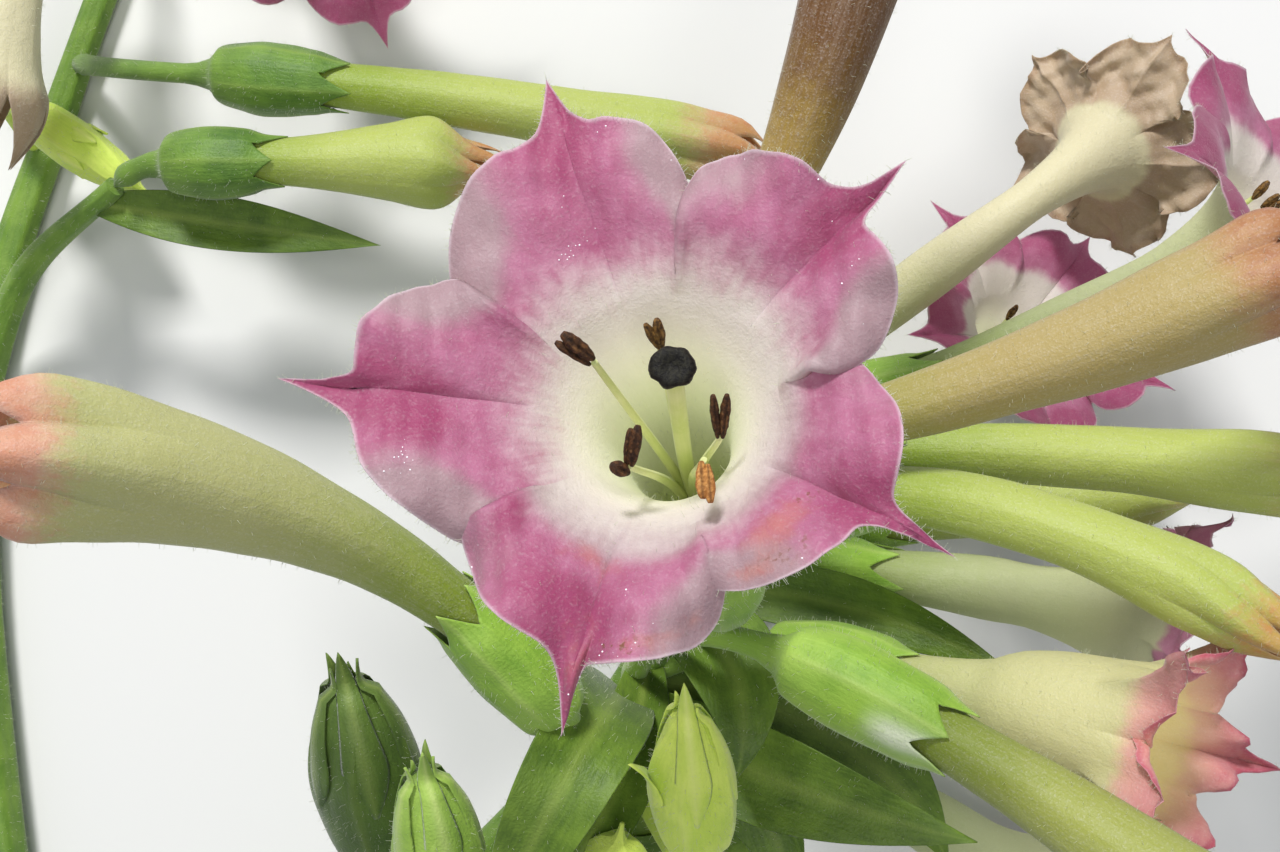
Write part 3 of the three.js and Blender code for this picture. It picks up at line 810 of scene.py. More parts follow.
def open_corolla(name, axis, calyx_length, limb, form, mask_maker, finish, seed, throat=THROAT_RADIUS,
                 rise=LIMB_RISE, flare=FLARE, tube_rows=26, limb_rows=30):
    """A trumpet whose lobes spread: up the tube, round the throat, and out over the lobes to their edge."""
    calyx_end = axis.base + calyx_length
    throat_end = axis.length - rise
    foot = axis.base + COROLLA_SEAT
    way = 1 - (1 - np.arange(tube_rows) / tube_rows) ** 1.7
    tube_s = blend(foot, throat_end, way)
    neck = min(blend(calyx_end, throat_end, 0.4), throat_end - flare[0][0] - 2)
    tube_radius = profile(tube_s, [
        *tube_foot(axis, calyx_end), [neck, blend(TUBE_RADIUS, throat, 0.36)],
        *[[throat_end - before, throat * share] for before, share in flare]])
    out = (1 - (1 - np.linspace(0, 1, limb_rows)) ** 1.25)[:, None]
    lip = throat * flare[-1][1]
    columns = len(limb.angle)
    limb_radius = lip + (limb.reach - lip) * out
    radius = np.concatenate([np.repeat(tube_radius[:, None], columns, 1), limb_radius])
    out = np.concatenate([np.zeros((tube_rows, 1)), out])
    s = np.concatenate([tube_s, np.full(limb_rows, throat_end)])[:, None] + rise * (1 - (1 - out) ** 2.3)

    side, offset = limb.side, limb.offset
    valley = limb.per_lobe(form["valley"]) * (1 - np.exp(-(offset / 0.27) ** 1.5)) * out ** 1.5
    fall = limb.per_lobe(form["fall"]) * smooth(offset, 0.3, 1.0) * out ** 2 * 1.8
    curl = limb.per_lobe(form["curl"]) * limb.cusp ** 1.5 * smooth(out, 0.72, 1.0)
    lap_turn, lap_height = (
        np.where(side < 0, limb.per_lobe(lap), -limb.per_lobe(lap, 1))
        for lap in (form["lap_turn"], form["lap_height"]))
    lap_turn = -lap_turn * smooth(offset, 0.75, 1.0) * smooth(out, 0.42, 0.95)
    lap_height = lap_height * smooth(offset, 0.6, 0.95) * smooth(out, 0.1, 0.5)
    waves = np.sin(7.5 * side + 1.9 * limb.lobe) + 0.4 * np.sin(22 * side + 2.3 * limb.lobe)
    ruffle = form["ruffle"] * out ** 5 * waves * (1 - limb.cusp)
    angle = limb.angle + np.radians(lap_turn)
    laid_flat = flat_place(radius, angle, s)
    size = form["crumple_size"]
    uneven = ripple(laid_flat, size, seed) + 0.4 * ripple(laid_flat, size * 0.4, seed + 1)
    uneven = uneven * form["crumple"] * (0.15 + out) * smooth(out, 0.0, 0.2)
    points = axis.ring(s + valley - fall + curl + lap_height + ruffle + uneven, radius, angle)

    thickness = blend(PETAL_THICKNESS, EDGE_THICKNESS, smooth(out, 0.55, 1.0))
    masks = mask_maker(limb, out, radius)
    masks["way"] = np.concatenate([way, np.ones(limb_rows)])[:, None]
    # Painted glow deep in the throat, standing in for light that comes through the tube's walls.
    masks["painted_glow"] = smooth(s, throat_end - 26, throat_end - 4) * (1 - smooth(radius / throat, 1.0, 1.5))
    masks["halo"] = smooth(radius / throat, 0.6, 1.3)
    fuzz = blend(0.8, 0.12, smooth(out, 0.0, 0.35)) + RIM_FUZZ * smooth(out, 0.985, 1.0)
    along = np.concatenate([tube_s, throat_end + 14 * out[tube_rows:, 0]])[:, None]
    grain = grain_of(along, limb.angle, 9, 0.14)
    values = petal_values(points.shape[:2], masks, fuzz, 0.4, grain)
    return finish_petals(name, with_inside(points, thickness), finish, values)


# A painted highlight along a petal's edge.
def rim_mask(out):
    return smooth(out, 0.968, 0.996) * 0.85


# Soft spots on the main flower's lobes: strength, lobe, place across it and out on it, width and length
MAIN_SPOTS = {
    "band": ((0.9, 3, -0.86, 0.5, 0.14, 0.3), (0.8, 3, -0.05, 0.85, 0.16, 0.3),
             # The band spot at -0.45 on the bottom lobe is painted shade on its left half.
             (0.5, 2, 0.25, 0.6, 0.3, 0.25), (0.6, 3, -0.45, 0.7, 0.3, 0.3)),
    "stain": ((0.75, 4, -0.42, 0.52, 0.3, 0.18), (0.6, 4, -0.72, 0.82, 0.2, 0.12),
              (0.5, 3, 0.42, 0.88, 0.2, 0.1), (0.45, 3, -0.1, 0.3, 0.4, 0.12),
              (0.5, 3, 0.75, 0.8, 0.1, 0.08), (0.35, 3, 0, 0.75, 0.2, 0.2)),
    "wet": ((1, 1, 0.1, 0.45, 0.3, 0.16), (1, 1, 0.4, 0.3, 0.2, 0.1), (1, 0, -0.6, 0.75, 0.25, 0.12),
            (1, 2, 0.6, 0.8, 0.3, 0.15), (1, 3, 0.15, 0.5, 0.2, 0.3)),
    "speck": ((1.2, 3, 0.34, 0.9, 0.14, 0.07), (1, 3, 0.2, 0.86, 0.1, 0.05), (1, 4, -0.14, 0.48, 0.1, 0.06),
              (0.8, 3, 0.72, 0.9, 0.06, 0.05), (0.9, 4, -0.5, 0.8, 0.2, 0.08)),
}


def spots(limb, out, key):
    total = np.zeros((len(out), len(limb.side)))
    for strength, lobe, side, where, wide, long in MAIN_SPOTS[key]:
        total += strength * (limb.lobe == lobe) * peak(limb.side - side, wide) * peak(out - where, long)
    return total


def main_masks(limb, out, radius):
    """Where the main flower is pink, deep, faded and stained, by lobe and by the way out to the edge. Its
    deep band is partly painted shade, on the bottom lobe's left half.
    """
    pink_from = limb.per_lobe((9.8, 9.4, 8.4, 8.8, 8.6))
    band = 0.75 * peak(limb.offset, 0.34) * smooth(out, 0.3, 0.62) + limb.cusp * smooth(out, 0.6, 0.9)
    shoulder = limb.per_lobe((1.0, 0.9, 0.75, 0.3, 0.9)) * smooth(-limb.side, 0.2, 0.8)
    shoulder = shoulder + limb.per_lobe((0.5, 0.95, 1.0, 0.9, 0.25)) * smooth(limb.side, 0.2, 0.8)
    fade = 1.4 * shoulder * smooth(out, 0.3, 0.8)
    fade = fade + limb.per_lobe((0, 0, 0, 0.9, 0.6)) * (1 - smooth(out, 0.1, 0.42))
    wet = spots(limb, out, "wet") + 0.06 * smooth(out, 0.5, 0.9)
    patches = smooth(ripple(flat_place(radius, limb.angle, 0), 1.6, 9), 0.35, 1.1)
    return {
        "blush": smooth(radius, pink_from - 4.2, pink_from + 4.2), "band": band + spots(limb, out, "band"),
        "fade": fade, "stain": spots(limb, out, "stain"), "speck": spots(limb, out, "speck"),
        "rim": rim_mask(out), "wet": wet * patches}


def even_masks(limb, out, radius):
    offset = limb.offset
    band = peak(offset, 0.35) * smooth(out, 0.4, 0.8)
    fade = smooth(offset, 0.4, 0.95) * smooth(out, 0.5, 0.9) * 0.6
    return {"blush": smooth(out, 0.2, 0.5), "band": band, "fade": fade, "rim": rim_mask(out)}


def deep_masks(limb, out, radius):
    masks = even_masks(limb, out, radius)
    return masks | {"band": masks["band"] + 0.7 * smooth(out, 0.3, 0.8), "fade": masks["fade"] * 0.4}


def wilted_masks(limb, out, radius):
    veins = 0.5 + 0.5 * np.cos(limb.side * 26)
    return {
        "blush": smooth(out, 0.02, 0.25), "band": 0.5 * veins * smooth(out, 0.1, 0.5),
        "fade": 0.6 * smooth(out, 0.2, 0.6), "stain": 0.7 * smooth(out, 0.75, 1.0),
        "rim": 0.5 * rim_mask(out)}


def lip_masks(limb, out, radius):
    return {
        "blush": smooth(out, 0.1, 0.5), "band": 0.9 * smooth(out, 0.72, 1.0),
        "fade": 0.8 * (1 - smooth(out, 0.3, 0.8)), "stain": 0.3 * smooth(out, 0.4, 0.9),
        "rim": 0.5 * rim_mask(out)}


def closed_corolla(name, axis, calyx_length, finish, seed, throat=THROAT_RADIUS, mouth=2.5, tip=5,
                   twist=0.0, pleat=0.3, crumple=0.25, blush=0.6, stain=0.3, late=-0.4, tube=TUBE_RADIUS,
                   rows=52, per_lobe=18):
    """A trumpet whose lobes are drawn together: a long bud, or a flower that is closing or withered."""
    calyx_end = axis.base + calyx_length
    limb = Limb(*even_lobes(1, 20), per_lobe)
    offset = limb.offset
    foot = axis.base + COROLLA_SEAT
    mouth_start = blend(calyx_end, axis.length, 0.8)
    part = np.linspace(0, 1, rows)[:, None]
    edge_s = axis.length + tip * (1 - 1.1 * offset ** 1.3)
    s = foot + (edge_s - foot) * part
    radius = profile(s, [
        *tube_foot(axis, calyx_end, tube), [blend(calyx_end, axis.length, 0.3), blend(tube, throat, 0.3)],
        [blend(calyx_end, axis.length, 0.55), throat * 0.84], [mouth_start, throat],
        [axis.length, mouth], [axis.length + tip, mouth * 0.42]])
    closing = smooth(s, blend(calyx_end, axis.length, 0.66), axis.length + tip * 0.5)
    ridge = 1 + pleat * closing * (0.55 - 1.25 * offset ** 1.6)
    shallow = 1 + 0.02 * (1 - 2 * offset) * (1 - closing)
    angle = limb.angle + twist * closing * smooth(s, mouth_start - 4, axis.length + tip)
    uneven = ripple(flat_place(radius, angle, s), 7, seed)
    radius = radius * ridge * shallow + uneven * crumple * (0.2 + closing)
    points = axis.ring(s, np.maximum(radius, 0.35), angle)
    late = smooth(s, blend(mouth_start, axis.length, late), axis.length + tip * 0.6)
    midrib = peak(offset, 0.35)
    # The rim mask is a painted highlight along the edge.
    masks = {
        "way": smooth(s, foot, mouth_start), "blush": late * blush * 1.5, "band": late * midrib * 0.6,
        "fade": (1 - midrib) * late * 0.4, "stain": smooth(s, mouth_start, axis.length + tip) * stain * 1.6,
        "rim": smooth(part, 0.985, 1) * 0.6}
    thickness = blend(PETAL_THICKNESS, EDGE_THICKNESS, smooth(part, 0.9, 1.0))
    fuzz = 0.8 + 3 * smooth(part, 0.985, 1.0) + 0 * s
    values = petal_values(points.shape[:2], masks, fuzz, 0.1, grain_of(s, limb.angle, 7, 0.14))
    return finish_petals(name, with_inside(points, thickness), finish, values)


def stalk_radius(s):
    """A pedicel's radius: pointed where it starts inside its stem, and thicker just outside it."""
    return PEDICEL_RADIUS * (1 + 0.4 * np.exp(-s / 3)) * smooth(s, -0.6, 2.6)


def calyx(name, axis, length, seed, split, finish, turn, rows=40, per_lobe=14, radius=CALYX_RADIUS):
    """A pedicel and the bell on it, with five uneven teeth. A split opens 36 degrees past the turn."""
    draw = np.random.default_rng(seed)
    own_turn = draw.uniform(0, 72)
    limb = Limb(*even_lobes(1, own_turn if turn is None else turn), per_lobe)
    side, offset = limb.side, limb.offset
    stalk_s = np.linspace(0, axis.base, 16, endpoint=False)[:, None]
    stalk = stalk_radius(stalk_s) + 0.35 * PEDICEL_RADIUS * smooth(stalk_s, axis.base - 3, axis.base)
    tooth = limb.per_lobe(draw.uniform(0.12, 0.24, LOBE_COUNT))
    sinus = 0.87 - 0.06 * limb.per_lobe(draw.uniform(0, 1, LOBE_COUNT))
    torn = peak(np.where(limb.lobe == 0, side - 1, side + 1), 0.5) * (limb.lobe < 2)
    edge = sinus + tooth * (1 - offset) ** 1.25 - torn * split / length
    part = np.linspace(0, 1, rows)[:, None]
    s = axis.base + length * edge * part
    u = (s - axis.base) / length
    bell = profile(u, [
        [-0.02, PEDICEL_RADIUS * 1.3], [0.04, radius * 0.6], [0.12, radius * 0.84], [0.42, radius],
        [0.72, radius * 0.91], [0.9, radius * 0.74], [1.12, radius * 0.7]])
    low = smooth(u, 0.02, 0.2)
    ribs = 1 + low * (0.025 * peak(offset, 0.2) + 0.015 * peak(offset - 1, 0.2))
    bell = bell * ribs + ripple(flat_place(bell, limb.angle, s), 6, seed + 50) * 0.1
    s = np.concatenate([stalk_s + 0 * side, s])
    outer = axis.ring(s, np.concatenate([stalk + 0 * side, bell]), limb.angle)
    thickness = blend(0.12, CALYX_THICKNESS, smooth(edge - u, 0.0, 0.35))
    wall = with_inside(outer[len(stalk):], thickness)[rows:]
    kept = np.round(np.linspace(0, 0.72, 14) * (rows - 1)).astype(int)
    points = np.concatenate([outer, wall[kept]])
    rib_pale = 0.3 * peak(offset, 0.14) * smooth(u, 0.0, 0.3) + 0.2 * (1 - smooth(u, 0, 0.5))
    membrane = np.minimum(1, 1.3 * torn) * smooth(u, 0.5, 0.7) * (split > 0)
    blank = np.zeros((len(stalk), per_lobe * LOBE_COUNT))
    inner = np.zeros(wall[kept].shape[:2])
    pale = np.concatenate([blank + 0.15, rib_pale, inner + 0.5])
    membrane = np.concatenate([blank, membrane, inner])
    fuzz = np.concatenate([np.ones(outer.shape[:2]), np.zeros(wall[kept].shape[:2])])
    grain = grain_of(s, limb.angle, 3.5, 0.1)
    grain = np.concatenate([grain, grain[::-1][kept]])
    values = {"pale": pale, "membrane": membrane, "fuzz": fuzz, "grain": grain}
    piece = closed_skins(f"{name}_cup", [(points, values)], GREENS[finish])
    return finish_piece(piece, [f"{name}_calyx"])


# Flowers: how far along its stem each grows, its trumpet's base, bend and mouth, and its state

FLOWERS = {
    "main": dict(
        part=0.93, route=((6.9, -15, 61), (5.5, -6.5, 78), (0.5, 1.8, 106)),
        lobes=(MAIN_LOBES, MAIN_NOTCHES), form=MAIN_FORM, masks=main_masks, finish="fresh",
        reference=(1, 0, 0), per_lobe=84, tube_rows=46, limb_rows=64),
    "left": dict(
        part=0.8, route=((-6.7, -25, 61), (-19, -5, 70), (-45, -1.8, 87)), lead_part=0.2,
        closed=dict(throat=5.3, mouth=4.8, tip=4, pleat=0.4, crumple=0.35, blush=0.8, stain=0.6, late=0.2),
        finish="cream"),
    "low_right": dict(
        part=0.87, route=((11.7, -19, 64), (28, -25, 72), (46.7, -39.4, 90)),
        closed=dict(throat=4.2, mouth=3.5), finish="olive", split=0.6, turn=89, calyx_length=18),
    "curled": dict(
        part=0.88, route=((12, -21, 47), (28, -22.5, 60), (43.3, -25.6, 73)),
        lobes=even_lobes(0.52, 50, 1.3, 0.6), form=LIPS_FORM, masks=lip_masks, finish="lips",
        throat=5.4, rise=7, flare=((9, 0.84), (5, 1.0), (2, 1.05), (0, 1.08))),
    "edge_on": dict(
        part=0.92, route=((9, -14.5, 38), (28, -13, 38), (50, -19.5, 42)),
        lobes=even_lobes(0.7, 100), form=WILTED_FORM, masks=even_masks, finish="fresh", throat=4.2),
    "long_bud": dict(
        part=0.965, route=((11, -9.5, 48), (22, 0, 62), (50, -16, 72)),
        closed=dict(throat=3.4, mouth=2.2, tip=4, twist=0.8, blush=0.3, stain=0.8), finish="pale"),
    "pale_right": dict(
        part=0.99, route=((10, -3, 38), (30, -1, 45), (63, -5, 52)),
        closed=dict(throat=3.7, mouth=3), finish="pale"),
    "young": dict(
        stem="back_twig", part=0.65, route=((12, -11, 29), (30, -9, 32), (54, -6.2, 33)),
        closed=dict(throat=3.8, mouth=2, tip=3, twist=0.8, blush=0.2), finish="pale"),
    "tan": dict(
        part=1, route=((5.5, -2, 54), (24, 0, 64), (51, 12.7, 72)),
        closed=dict(throat=4.5, mouth=4.4, tip=4, crumple=0.35, pleat=0.25, blush=0.8, stain=0.7),
        finish="tan"),
    "dried": dict(
        part=0.97, route=((-2, -2, 58), (15, 19, 62), (20, 48, 66)), calyx_length=14,
        closed=dict(tube=1.8, throat=4.2, mouth=4, tip=5, crumple=0.35, pleat=0.35, blush=0.9, stain=0.4),
        finish="dried"),
    "high_right": dict(
        stem="back_twig", part=0.95, route=((17, 1, 28), (38, 5.8, 38), (57, 19.4, 56)),
        lobes=even_lobes(0.95, 126), form=EVEN_FORM, masks=deep_masks, finish="fresh", throat=3.8),
    "brown": dict(
        stem="back_twig", part=1, route=((10, 0, 12), (37, 22, 40), (49.5, 29.5, 25)),
        lobes=even_lobes(0.74, 60, 0.88), form=WILTED_FORM, masks=wilted_masks, finish="brown", throat=3),
    "behind": dict(
        stem="back_twig", part=0.85, route=((14, -13, 8), (35, 2, 5), (42.5, 11, 20)),
        lobes=even_lobes(0.9, 54), form=EVEN_FORM, masks=deep_masks, finish="fresh", throat=4),
    "back_low": dict(
        stem="back_twig", part=0.4, route=((10, -29, 29), (28, -40, 22), (47, -54, 10.4)),
        lobes=even_lobes(0.62, 30), form=EVEN_FORM, masks=even_masks, finish="fresh"),
    "top_left": dict(
        stem="main_stem", part=0.87, route=((-47, 38.5, 17), (-20, 36, 22), (10.7, 29.5, 20)),
        closed=dict(throat=3.8, mouth=3, tip=3, blush=0.7, stain=0.7), finish="pale", cup="calyx_dark"),
    "left_bud": dict(
        stem="left_twig", part=1, route=((-51, 28, 22), (-34, 28, 25), (-18, 28, 22)), calyx_length=13,
        closed=dict(throat=4.8, mouth=2.2, tip=4, twist=0.9, blush=0.6, stain=0.8), finish="pale",
        cup="calyx_dark"),
    "withered_left": dict(
        stem="main_stem", part=0.95, route=((-61, 62, 20), (-66, 48, 28), (-67.5, 34, 26)), calyx_length=12,
        closed=dict(throat=4.4, mouth=5.5, tip=7, crumple=0.5, pleat=0.15, blush=1.0), finish="brown"),
    "top": dict(
        stem="main_stem", part=1, route=((-51, 72, 14), (-39, 68, 9), (-32, 56.5, 24)), calyx_length=12,
        lobes=even_lobes(0.95, 41), form=EVEN_FORM, masks=deep_masks, finish="fresh"),
}

USUAL_FLOWER = dict(
    calyx_length=CALYX_LENGTH, cup="calyx", reference=None, lead_part=0.5, split=0.0, turn=None, per_lobe=32)
SIZES = ("throat", "rise", "flare", "tube_rows", "limb_rows")
AXES = {}


def make_flower(name, spec, seed):
    axis = head_axis(root_of(spec), *spec["route"], spec["reference"], spec["lead_part"])
    length, finish = spec["calyx_length"], spec["finish"]
    if "closed" in spec:
        petals = closed_corolla(name, axis, length, finish, seed, **spec["closed"])
    else:
        limb = Limb(*spec["lobes"], spec["per_lobe"])
        sizes = {key: spec[key] for key in SIZES if key in spec}
        petals = open_corolla(name, axis, length, limb, spec["form"], spec["masks"], finish, seed, **sizes)
    return axis, petals, calyx(name, axis, length, seed + 5, spec["split"], spec["cup"], spec["turn"])


for index, (flower_name, flower) in enumerate(FLOWERS.items()):
    AXES[flower_name], petals, cup = make_flower(flower_name, USUAL_FLOWER | flower, 10 * index)
    PETAL_SKINS.append(petals)
    GREEN_SKINS.append(cup)


# Buds and capsules, still shut, in their calyx's teeth: each tooth's length and how far it spreads

BUDS = {
    "front_bud": dict(
        part=0.83, route=((5, -36, 61), (3.5, -21, 74)), radius=3.6, finish="bud",
        teeth=((1.1, 0.3), (0.94, 0.5), (0.9, 0.2), (0.98, 0.9), (0.72, 2.4))),
    "capsule_left": dict(
        part=0.55, route=((-24, -42, 41), (-27, -21, 52)), radius=5.2, finish="capsule",
        teeth=((1.06, 0.9), (1.0, 1.3), (0.96, 0.6), (1.0, 1.6), (0.98, 0.8))),
    "withered_bud": dict(
        part=0.62, route=((-17, -44, 52), (-18.5, -28, 62)), radius=4, finish="calyx",
        teeth=((1.08, 1.0), (1.0, 0.8), (1.04, 1.2), (0.96, 0.8), (1.0, 1.4))),
    "low_bud": dict(
        part=0.74, route=((-4, -49, 52), (-1.5, -33.5, 62)), radius=4.6, finish="bud",
        teeth=((0.66, 0.1), (0.62, 0.2), (0.64, 0.1), (0.6, 0.2), (0.62, 0.1))),
    "pale_bud": dict(
        stem="main_stem", part=0.81, route=((-70, 36, 11), (-55, 26, 12)), radius=2.8, finish="bud",
        teeth=((0.6, 0.2), (0.56, 0.3), (0.6, 0.2), (0.54, 0.3), (0.58, 0.2))),
}


def bud_radius(u, radius):
    return profile(u, [
        [-0.02, PEDICEL_RADIUS * 1.3], [0.06, radius * 0.6], [0.2, radius * 0.92], [0.42, radius],
        [0.65, radius * 0.84], [0.85, radius * 0.44], [1.0, radius * 0.04], [1.3, 0.02]])


TOOTH_START = 0.4


def tooth_skin(axis, radius, turn, end, spread, rows=26, columns=12):
    """One tooth: a thin blade that lies on the bud and leaves it towards its own tip."""
    u = np.linspace(TOOTH_START, end, rows)[:, None]
    way = (u - TOOTH_START) / (end - TOOTH_START)
    angle = round_angles(columns)
    half = 0.56 * radius * (1 - way) ** 0.8 * smooth(way, -0.1, 0.35) + 0.05
    body = bud_radius(u, radius) + 0.1 * smooth(way, 0, 0.5) - 0.15
    sunk = 0.28 * np.cos(angle) ** 2 * (1 - smooth(way, 0.5, 0.9))
    lift = body + spread * way ** 3 + 0.14 * (np.sin(angle) + 0.9) - sunk
    x = half * np.cos(angle)
    hug = np.sqrt(np.maximum(lift ** 2 - (x * 0.8) ** 2, 0.02))
    s = axis.base + (axis.length - axis.base) * u
    centre, _, across, up = axis.section(s)
    outward = across * math.cos(turn) + up * math.sin(turn)
    sideways = up * math.cos(turn) - across * math.sin(turn)
    points = centre + outward * hug[..., None] + sideways * x[..., None]
    pale = 0.5 * peak(np.cos(angle), 0.3) + 0.3 * way
    return points, {"pale": pale, "fuzz": 0.6, "grain": grain_of(s, turn + x / radius, 3.5, 0.1)}


def make_bud(name, spec, seed, rows=48, per_lobe=14):
    base, tip = np.array(spec["route"], float)
    axis = head_axis(root_of(spec), base, (base + tip) / 2, tip)
    limb = Limb(*even_lobes(1, 10 * seed), per_lobe)
    offset = limb.offset
    radius = spec["radius"]
    stalk_s = np.linspace(0, axis.base, 18, endpoint=False)[:, None]
    bud_s = np.linspace(axis.base, axis.length, rows)[:, None]
    u = (bud_s - axis.base) / (axis.length - axis.base)
    fold = 0.16 * smooth(u, 0.1, 0.7)
    body = bud_radius(u, radius)
    body = body * (1 + fold * (0.4 - offset ** 0.8)) + 0.03 * radius * peak(offset, 0.12) * (1 - u)
    twist = 0.5 * smooth(u, 0.5, 1.0)
    stalk = stalk_radius(stalk_s) + np.zeros_like(body[:1])
    s = np.concatenate([stalk_s, bud_s]) + np.zeros_like(body[:1])
    turn = np.concatenate([np.zeros_like(stalk_s), twist])
    points = axis.ring(s, np.concatenate([stalk, body]), limb.angle + turn)
    pale = np.concatenate([np.full(stalk.shape, 0.1), 0.4 * peak(offset, 0.14) * (1 - u) + 0.2 * u])
    grain = grain_of(s, limb.angle, 3.5, 0.1)
    skins = [(points, {"pale": pale, "fuzz": 1.0, "grain": grain})]
    for k, (end, spread) in enumerate(spec["teeth"]):
        skins.append(tooth_skin(axis, radius, math.radians(72 * k + 90 + 10 * seed), end, spread))
    return finish_piece(closed_skins(f"{name}_skin", skins, GREENS[spec["finish"]]), [name])


for bud_seed, (bud_name, bud) in enumerate(BUDS.items()):
    GREEN_SKINS.append(make_bud(bud_name, bud, bud_seed))


# Bracts and leaves: blades with a keel, each with its root, its middle and its tip

BRACTS = {
    "bract_front": dict(part=0.7, route=((4, -52, 34), (15, -30, 42)), width=8),
    "bract_right": dict(part=0.855, route=((10, -33, 50), (30, -37, 54)), width=9),
    "bract_left": dict(stem="left_twig", part=0.9, route=((-46, 22, 18), (-28, 19.5, 20)), width=6),
}
LEAVES = [
    dict(part=0.95, route=((11, -20, 57), (8.5, -31, 56)), width=9),
    dict(part=0.84, route=((13, -30, 42), (15, -48, 40)), width=8),
    dict(part=0.88, route=((24, -28, 36), (31, -44, 34)), width=12),
    dict(part=0.97, route=((20, -15, 46), (33, -22, 55)), width=6),
    dict(part=0.86, route=((-3, -20, 78), (-14, -46, 56)), width=8.5),
    dict(part=0.82, route=((-3, -36, 48), (-6, -50, 46)), width=4.5),
    dict(part=0.8, route=((5, -42, 38), (2, -50, 32)), width=11),
    dict(part=0.9, route=((-1, -34, 64), (-12, -45, 60)), width=6.5),
]


def blade_skin(spec, rows=48, columns=24):
    axis = Axis(bezier(root_of(spec), *spec["route"]))
    u = np.linspace(0, 1, rows)[:, None]
    angle = round_angles(columns)
    half = np.maximum(0.6 * (1 - u) + 0.03, spec["width"] / 2 * np.sin(math.pi * (0.1 + 0.9 * u) ** 0.9))
    across = np.cos(angle)
    x = half * across
    keel = 0.28 * half * np.abs(across) ** 1.4
    wave = 0.25 * np.sin(9 * u + 2 * np.sign(across)) * np.abs(across) ** 3
    thick = BRACT_THICKNESS / 2 * (1 - 0.6 * np.abs(across)) * smooth(1 - u, -0.05, 0.15)
    midrib = 0.25 * peak(across, 0.12) * np.where(np.sin(angle) < 0, 1, 0.2) * (1 - u)
    y = np.sin(angle) * (thick + midrib) + keel + wave
    points = axis.points(u * axis.length, x, y)
    pale = 0.5 * peak(across, 0.1) * (1 - 0.6 * u)
    grain = np.stack([x * 0.8, y * 0.8, u * axis.length * 0.12 + 0 * x], -1)
    return points, {"pale": pale, "fuzz": 0.5, "grain": grain}


def make_blades(name, specs, nodes=()):
    blades = closed_skins(name, [blade_skin(spec) for spec in specs], GREENS["bract"])
    GREEN_SKINS.append(finish_piece(blades, nodes))


for bract_name, bract in BRACTS.items():
    make_blades(f"{bract_name}_blade", [bract], [bract_name])
make_blades("leaves", LEAVES)


# Stamens and pistils

def theca(foot, head, width, seed, rows=22, sides=24):
    """One half of an anther: a plump pod with a slit along it, shrivelled a little."""
    draw = np.random.default_rng(seed)
    foot, head = np.array((foot, head), float)
    axis = Axis(bezier(foot, (foot + head) / 2 + (0, 0, 0.1), head, 20))
    u = np.linspace(0, 1, rows)[:, None]
    angle = round_angles(sides)
    swell = np.sin(math.pi * (0.04 + 0.92 * u)) ** 0.45 * (0.82 + 0.25 * u)
    slit = peak(angle - math.pi / 2 - 0.2 * math.sin(seed), 0.32)
    radius = width / 2 * swell * (1 - 0.45 * slit * np.sin(math.pi * u))
    laid_flat = flat_place(radius, angle, u * axis.length)
    radius = radius * (1 + 0.1 * ripple(laid_flat, width * draw.uniform(0.7, 1.1), seed))
    points = axis.ring(u * axis.length, radius, angle)
    # Painted highlight along the lips of the slit.
    painted_light = peak(np.abs(angle - math.pi / 2) - 0.62, 0.14) * np.sin(math.pi * u)
    return points, {"slit": slit + 0 * u, "ridge": painted_light}


def anther_material(name, light, dark, edge):
    w = start_material(name)
    coarse = w.noise(w.place(), 3400.0, 5.0, 0.65)
    tint = w.mix(w.step(coarse, 0.38, 0.66), colour(*dark), colour(*light))
    tint = w.over(tint, colour(30, 18, 10), w.attribute("slit"), 0.6)
    # Painted highlight: the edge colour along the ridges beside the slit.
    ridge_highlight = w.times(w.attribute("ridge"), w.step(w.noise(w.place(), 1800.0), 0.45, 0.6))
    return end_material(w, w.over(tint, colour(*edge), ridge_highlight, 0.5), coarse, 0.16, 0.6, specular=0.25)


def stigma_material():
    w = start_material("stigma_black")
    coarse = w.noise(w.place(), 3800.0, 5.0, 0.65)
    tint = w.mix(w.step(coarse, 0.35, 0.68), colour(14, 11, 10), colour(40, 38, 28))
    return end_material(w, tint, coarse, 0.12, 0.5, specular=0.2)


# The last colour of each anther is its painted ridge highlight.
ANTHER_BROWN = anther_material("anther_brown", (92, 58, 30), (48, 28, 14), (176, 128, 80))
ANTHER_GOLD = anther_material("anther_gold", (134, 98, 46), (66, 44, 20), (214, 176, 108))
ANTHER_TAN = anther_material("anther_tan", (200, 142, 76), (150, 96, 44), (228, 184, 122))
STIGMA = stigma_material()

